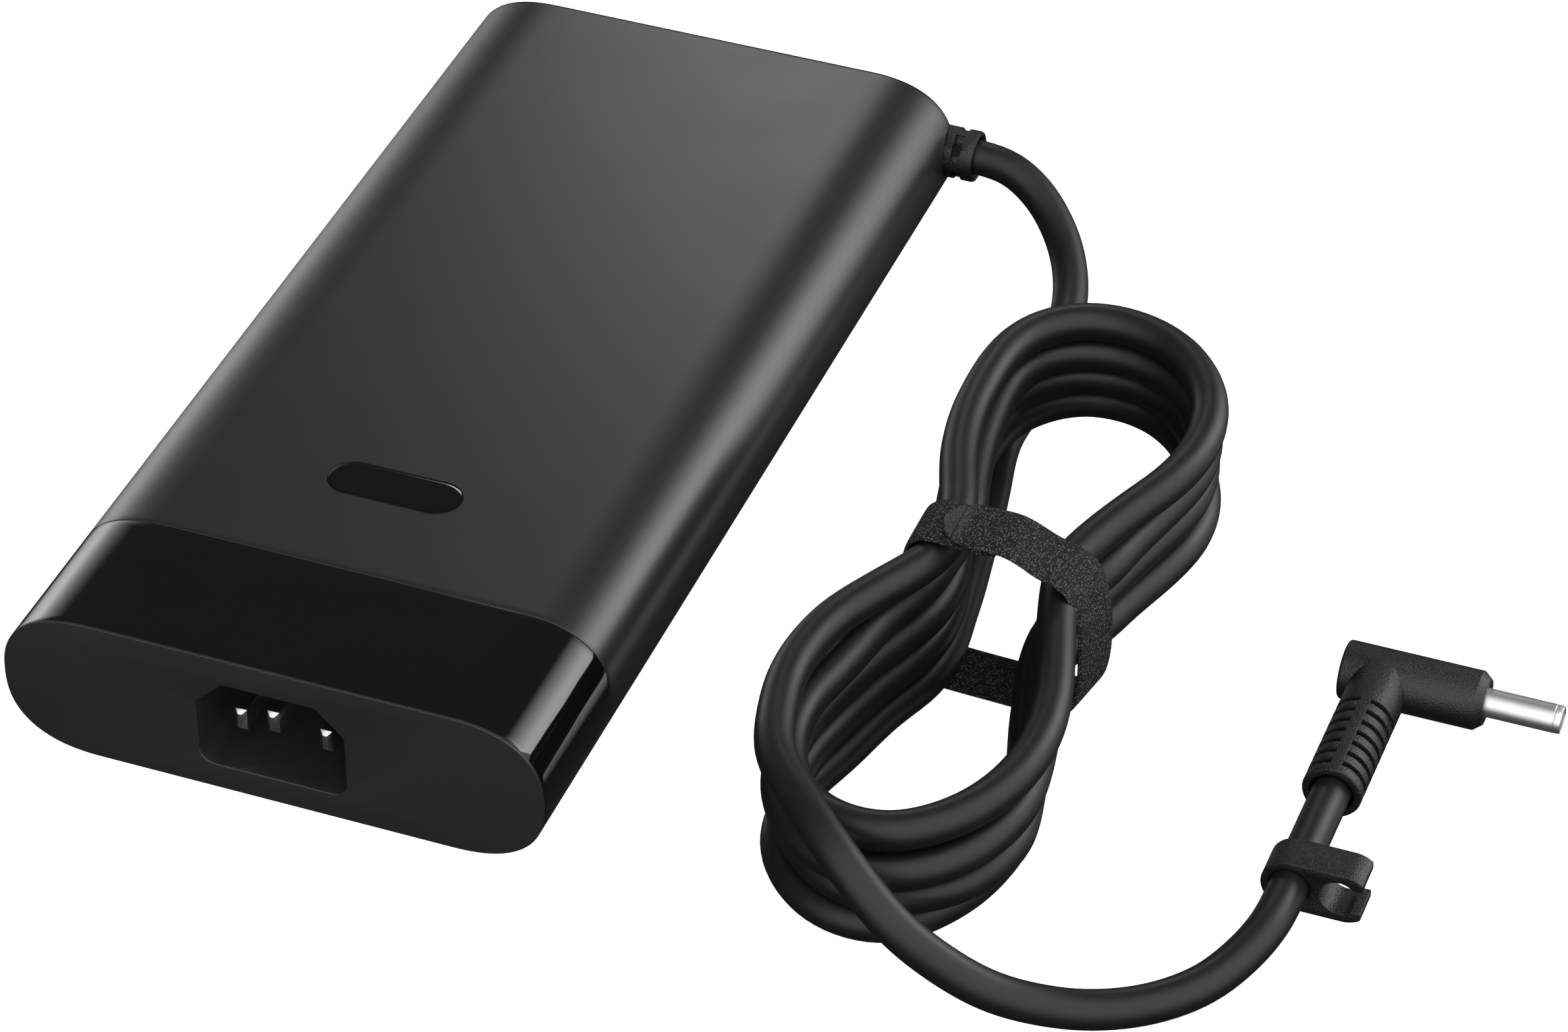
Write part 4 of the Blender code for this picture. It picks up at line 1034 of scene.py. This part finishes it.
def make_cap(finish):
    """The rear cover: a low dome with a spigot inside the sleeve and a notch for the gland."""
    start = REAR + LINE
    rise = CAP_END - start
    dome = []
    for step in range(DOME_STEPS + 1):
        angle = math.pi / 2 * step / DOME_STEPS
        dome.append((DOME_REACH * step / DOME_STEPS, start + rise * math.sin(angle)))
    inner = [(inset + WALL, y - WALL) for inset, y in dome[2:16:2]]
    spigot_end = REAR - CAP_SPIGOT
    profile = [
        *reversed(inner), (SPIGOT_INNER, spigot_end), (SPIGOT, spigot_end), (SPIGOT, start),
        *dome,
    ]
    cap = case_piece("case_rear_cap", profile, finish, "satin_case", "rear_cover", closed=False)
    gland_flange = box_mesh(
        (GLAND_LOW.x - 1, GLAND_LOW.y - GLAND_ROOM, MIDDLE - 5.5),
        (CASE_WIDTH / 2 - 2.0, REAR + 1.2, MIDDLE + 5.5),
    )
    cut(cap, gland_notch(), gland_flange)


# ---- gland, clip and plug


def make_gland(finish):
    """The bush that the cord leaves the case through: four windows with a bar in each."""
    start = CASE_WIDTH / 2 - GLAND_INSIDE
    reach = GLAND_END - start
    radius = GLAND_RADIUS
    bore = CORD_RADIUS + 0.06
    soft = 0.45
    profile = [
        (radius, 0), (radius, reach - soft), (radius - soft * 0.3, reach - soft * 0.3),
        (radius - soft, reach), (bore + 0.75, reach), (bore + 0.45, reach - 0.15), (bore, reach - 0.9),
        (bore, reach - 3.0),
    ]
    middle = Vector((start, GLAND_Y, GLAND_Z))
    round_bush = turned_mesh(profile, middle, (1, 0, 0))
    bush = new_piece("gland_bush", round_bush, finish, "moulding", ["cable_gland"])
    first, last = reach - WINDOW_FAR, reach - WINDOW_NEAR
    recess, deep = radius - WINDOW_RECESS, radius - WINDOW_DEPTH
    holes = (
        ((first, -WINDOW_HALF, recess), (last, WINDOW_HALF, radius + 1)),
        ((first, WINDOW_BAR_HALF, deep), (last, WINDOW_HALF, radius + 1)),
        ((first, -WINDOW_HALF, deep), (last, -WINDOW_BAR_HALF, radius + 1)),
    )
    cutters = []
    for quarter in range(4):
        turn = Matrix.Rotation(math.radians(45 + 90 * quarter), 4, "X")
        for low, high in holes:
            hole = box_mesh(low, high)
            bmesh.ops.transform(hole, matrix=Matrix.Translation(middle) @ turn, verts=hole.verts)
            cutters.append(hole)
    cut(bush, *cutters)
    soften(bush, 0.07, segments=2)
    return bush


def clip_outline():
    """The clip seen along Y: a stadium with one end cut flat."""
    stop = math.degrees(math.acos((CLIP_CUT_X - CLIP_END_X) / CLIP_RADIUS))
    cord_end, open_end = (PLUG_X, PLUG_Z), (CLIP_END_X, PLUG_Z)
    return [
        *arc(cord_end, CLIP_RADIUS, 90, 270, 48), *arc(open_end, CLIP_RADIUS, -90, -stop, 14),
        *arc(open_end, CLIP_RADIUS, stop, 90, 14),
    ]


def make_clip(finish):
    """The clip, with a bore for the cord and an open slot for another turn of it."""
    start, end = CLIP_LOW.y, CLIP_HIGH.y
    block = prism_mesh(clip_outline(), start, end)
    clip = new_piece("cord_clip", block, finish, "moulding", ["cable_clip"], body=CLIP_BODY)
    length = end - start + 2
    cutters = []
    for radius, x in ((CLIP_BORE, PLUG_X), (CLIP_SLOT_RADIUS, CLIP_SLOT_X)):
        cutters.append(turned_mesh([(radius, 0), (radius, length)], (x, start - 1, PLUG_Z), (0, 1, 0)))
    low, high = PLUG_Z - CLIP_MOUTH_HALF, PLUG_Z + CLIP_MOUTH_HALF
    mouth = box_mesh((CLIP_SLOT_X, start - 2, low), (CLIP_CUT_X + 2, end + 2, high))
    cut(clip, *cutters, mouth)
    soften(clip, 0.22, segments=3)
    return clip


def half_ring_mesh(profile, side, steps=40):
    """Half a ring round the strain relief, between its webs, on the side of -X or +X."""
    web = math.asin(RELIEF_WEB / 2 / PLUG_RADIUS)
    sweep = math.pi - 2 * web
    rings = []
    for step in range(steps + 1):
        angle = math.pi / 2 - side * (web + sweep * step / steps)
        across, up = math.cos(angle), math.sin(angle)
        rings.append([(PLUG_X + radius * across, y, PLUG_Z + radius * up) for radius, y in profile])
    return skin_mesh(rings, closed=False)


def make_plug(finish):
    """The plug's body along X and its slotted strain relief along Y, in one piece."""
    length, shoulder = PLUG_RIGHT - PLUG_LEFT, PLUG_SHOULDER - PLUG_LEFT
    radius = PLUG_RADIUS
    bore = BARREL_RADIUS + 0.03
    profile = [(radius - inset, along) for inset, along in edge_profile(0, 1, PLUG_SOFT, steps=6)]
    profile += [
        (radius, shoulder), (PLUG_NOSE_RADIUS, length), (bore + 0.15, length), (bore, length - 0.15),
        (bore, length - BARREL_INSIDE),
    ]
    body = turned_mesh(profile, (PLUG_LEFT, PLUG_Y, PLUG_Z), (1, 0, 0))
    replaces = ["plug_body", "plug_strain_relief"]
    moulding = new_piece("plug_moulding", body, finish, "moulding", replaces)
    reach = PLUG_Y - RELIEF_FRONT
    hole = CORD_RADIUS + 0.08
    relief = [
        (hole, 1.4), (hole + 0.3, 0.15), (hole + 0.45, 0), (radius - 0.35, 0), (radius - 0.12, 0.08),
        (radius - 0.02, 0.3), (radius - 0.02, reach),
    ]
    cut(moulding, turned_mesh(relief, (PLUG_X, RELIEF_FRONT, PLUG_Z), (0, 1, 0)), operation="UNION")
    cutters = []
    for slot in range(RELIEF_SLOTS):
        y = RELIEF_FIRST - slot * RELIEF_PITCH
        near, far = y - RELIEF_SLOT / 2, y + RELIEF_SLOT / 2
        ring = [(RELIEF_CORE, near), (radius + 1, near), (radius + 1, far), (RELIEF_CORE, far)]
        cutters += [half_ring_mesh(ring, side) for side in (-1, 1)]
    cut(moulding, *cutters)
    soften(moulding, 0.1, segments=2)
    return moulding


def make_barrel(finish):
    """The barrel with its rolled tip, the insulator inside it and the centre pin."""
    start = (PLUG_RIGHT - BARREL_INSIDE, PLUG_Y, PLUG_Z)
    length = BARREL_TIP - start[0]
    outer, inner = BARREL_RADIUS, BARREL_RADIUS - BARREL_WALL
    groove = length - 1.1
    profile = [
        (inner, 0), (outer, 0), (outer, groove - 0.12), (outer - 0.07, groove - 0.04),
        (outer - 0.07, groove + 0.04), (outer - 0.02, groove + 0.12), (outer - 0.05, length - 0.3),
        (outer - 0.12, length - 0.08), (outer - 0.22, length), (inner + 0.1, length),
        (inner, length - 0.1),
    ]
    tube = turned_mesh(profile, start, (1, 0, 0), closed=True)
    barrel = new_piece("plug_sleeve", tube, finish, "nickel", ["plug_barrel"])
    core, mouth = inner - 0.02, length - CORE_SHORT
    profile = [
        (core, 0), (core, mouth), (CORE_HOLE + 0.15, mouth), (CORE_HOLE, mouth - 0.2),
        (CORE_HOLE, length - CORE_DEPTH),
    ]
    lining = turned_mesh(profile, start, (1, 0, 0))
    insulator = new_piece("plug_core", lining, finish, "insulator", ["plug_insulator"])
    low, high = box_mm("plug_centre_pin")
    radius, shoulder = (high.z - low.z) / 2, high.x - low.x - PIN_TIP
    profile = [(radius, 0), (radius, shoulder)]
    for step in range(1, 6):
        angle = math.pi / 2 * step / 6
        profile.append((radius * math.cos(angle), shoulder + PIN_TIP * math.sin(angle)))
    rod = turned_mesh(profile, (low.x, PLUG_Y, PLUG_Z), (1, 0, 0), steps=32)
    pin = new_piece("plug_pin", rod, finish, "nickel", ["plug_centre_pin"])
    return [barrel, insulator, pin]


# ---- the whole


def finish_cad_nodes(finish):
    """The electronics stay the CAD's own solids, and take their slot's material."""
    for part in frame["record"]["subparts"]:
        node = frame["nodes"][part["node"]]
        node.data.materials.clear()
        node.data.materials.append(finish[part["material_slot"]])


def main():
    finish = make_finishes()
    make_camera()
    cord, length = make_cord(finish)
    make_floor()
    make_world()
    make_lights()
    finish_cad_nodes(finish)
    for make in (make_sleeve, make_badge, make_label, make_band, make_front, make_inlet, make_cap):
        make(finish)
    gland = make_gland(finish)
    strap, strap_length = make_strap(finish)
    clip = make_clip(finish)
    plug = [make_plug(finish), *make_barrel(finish)]


main()
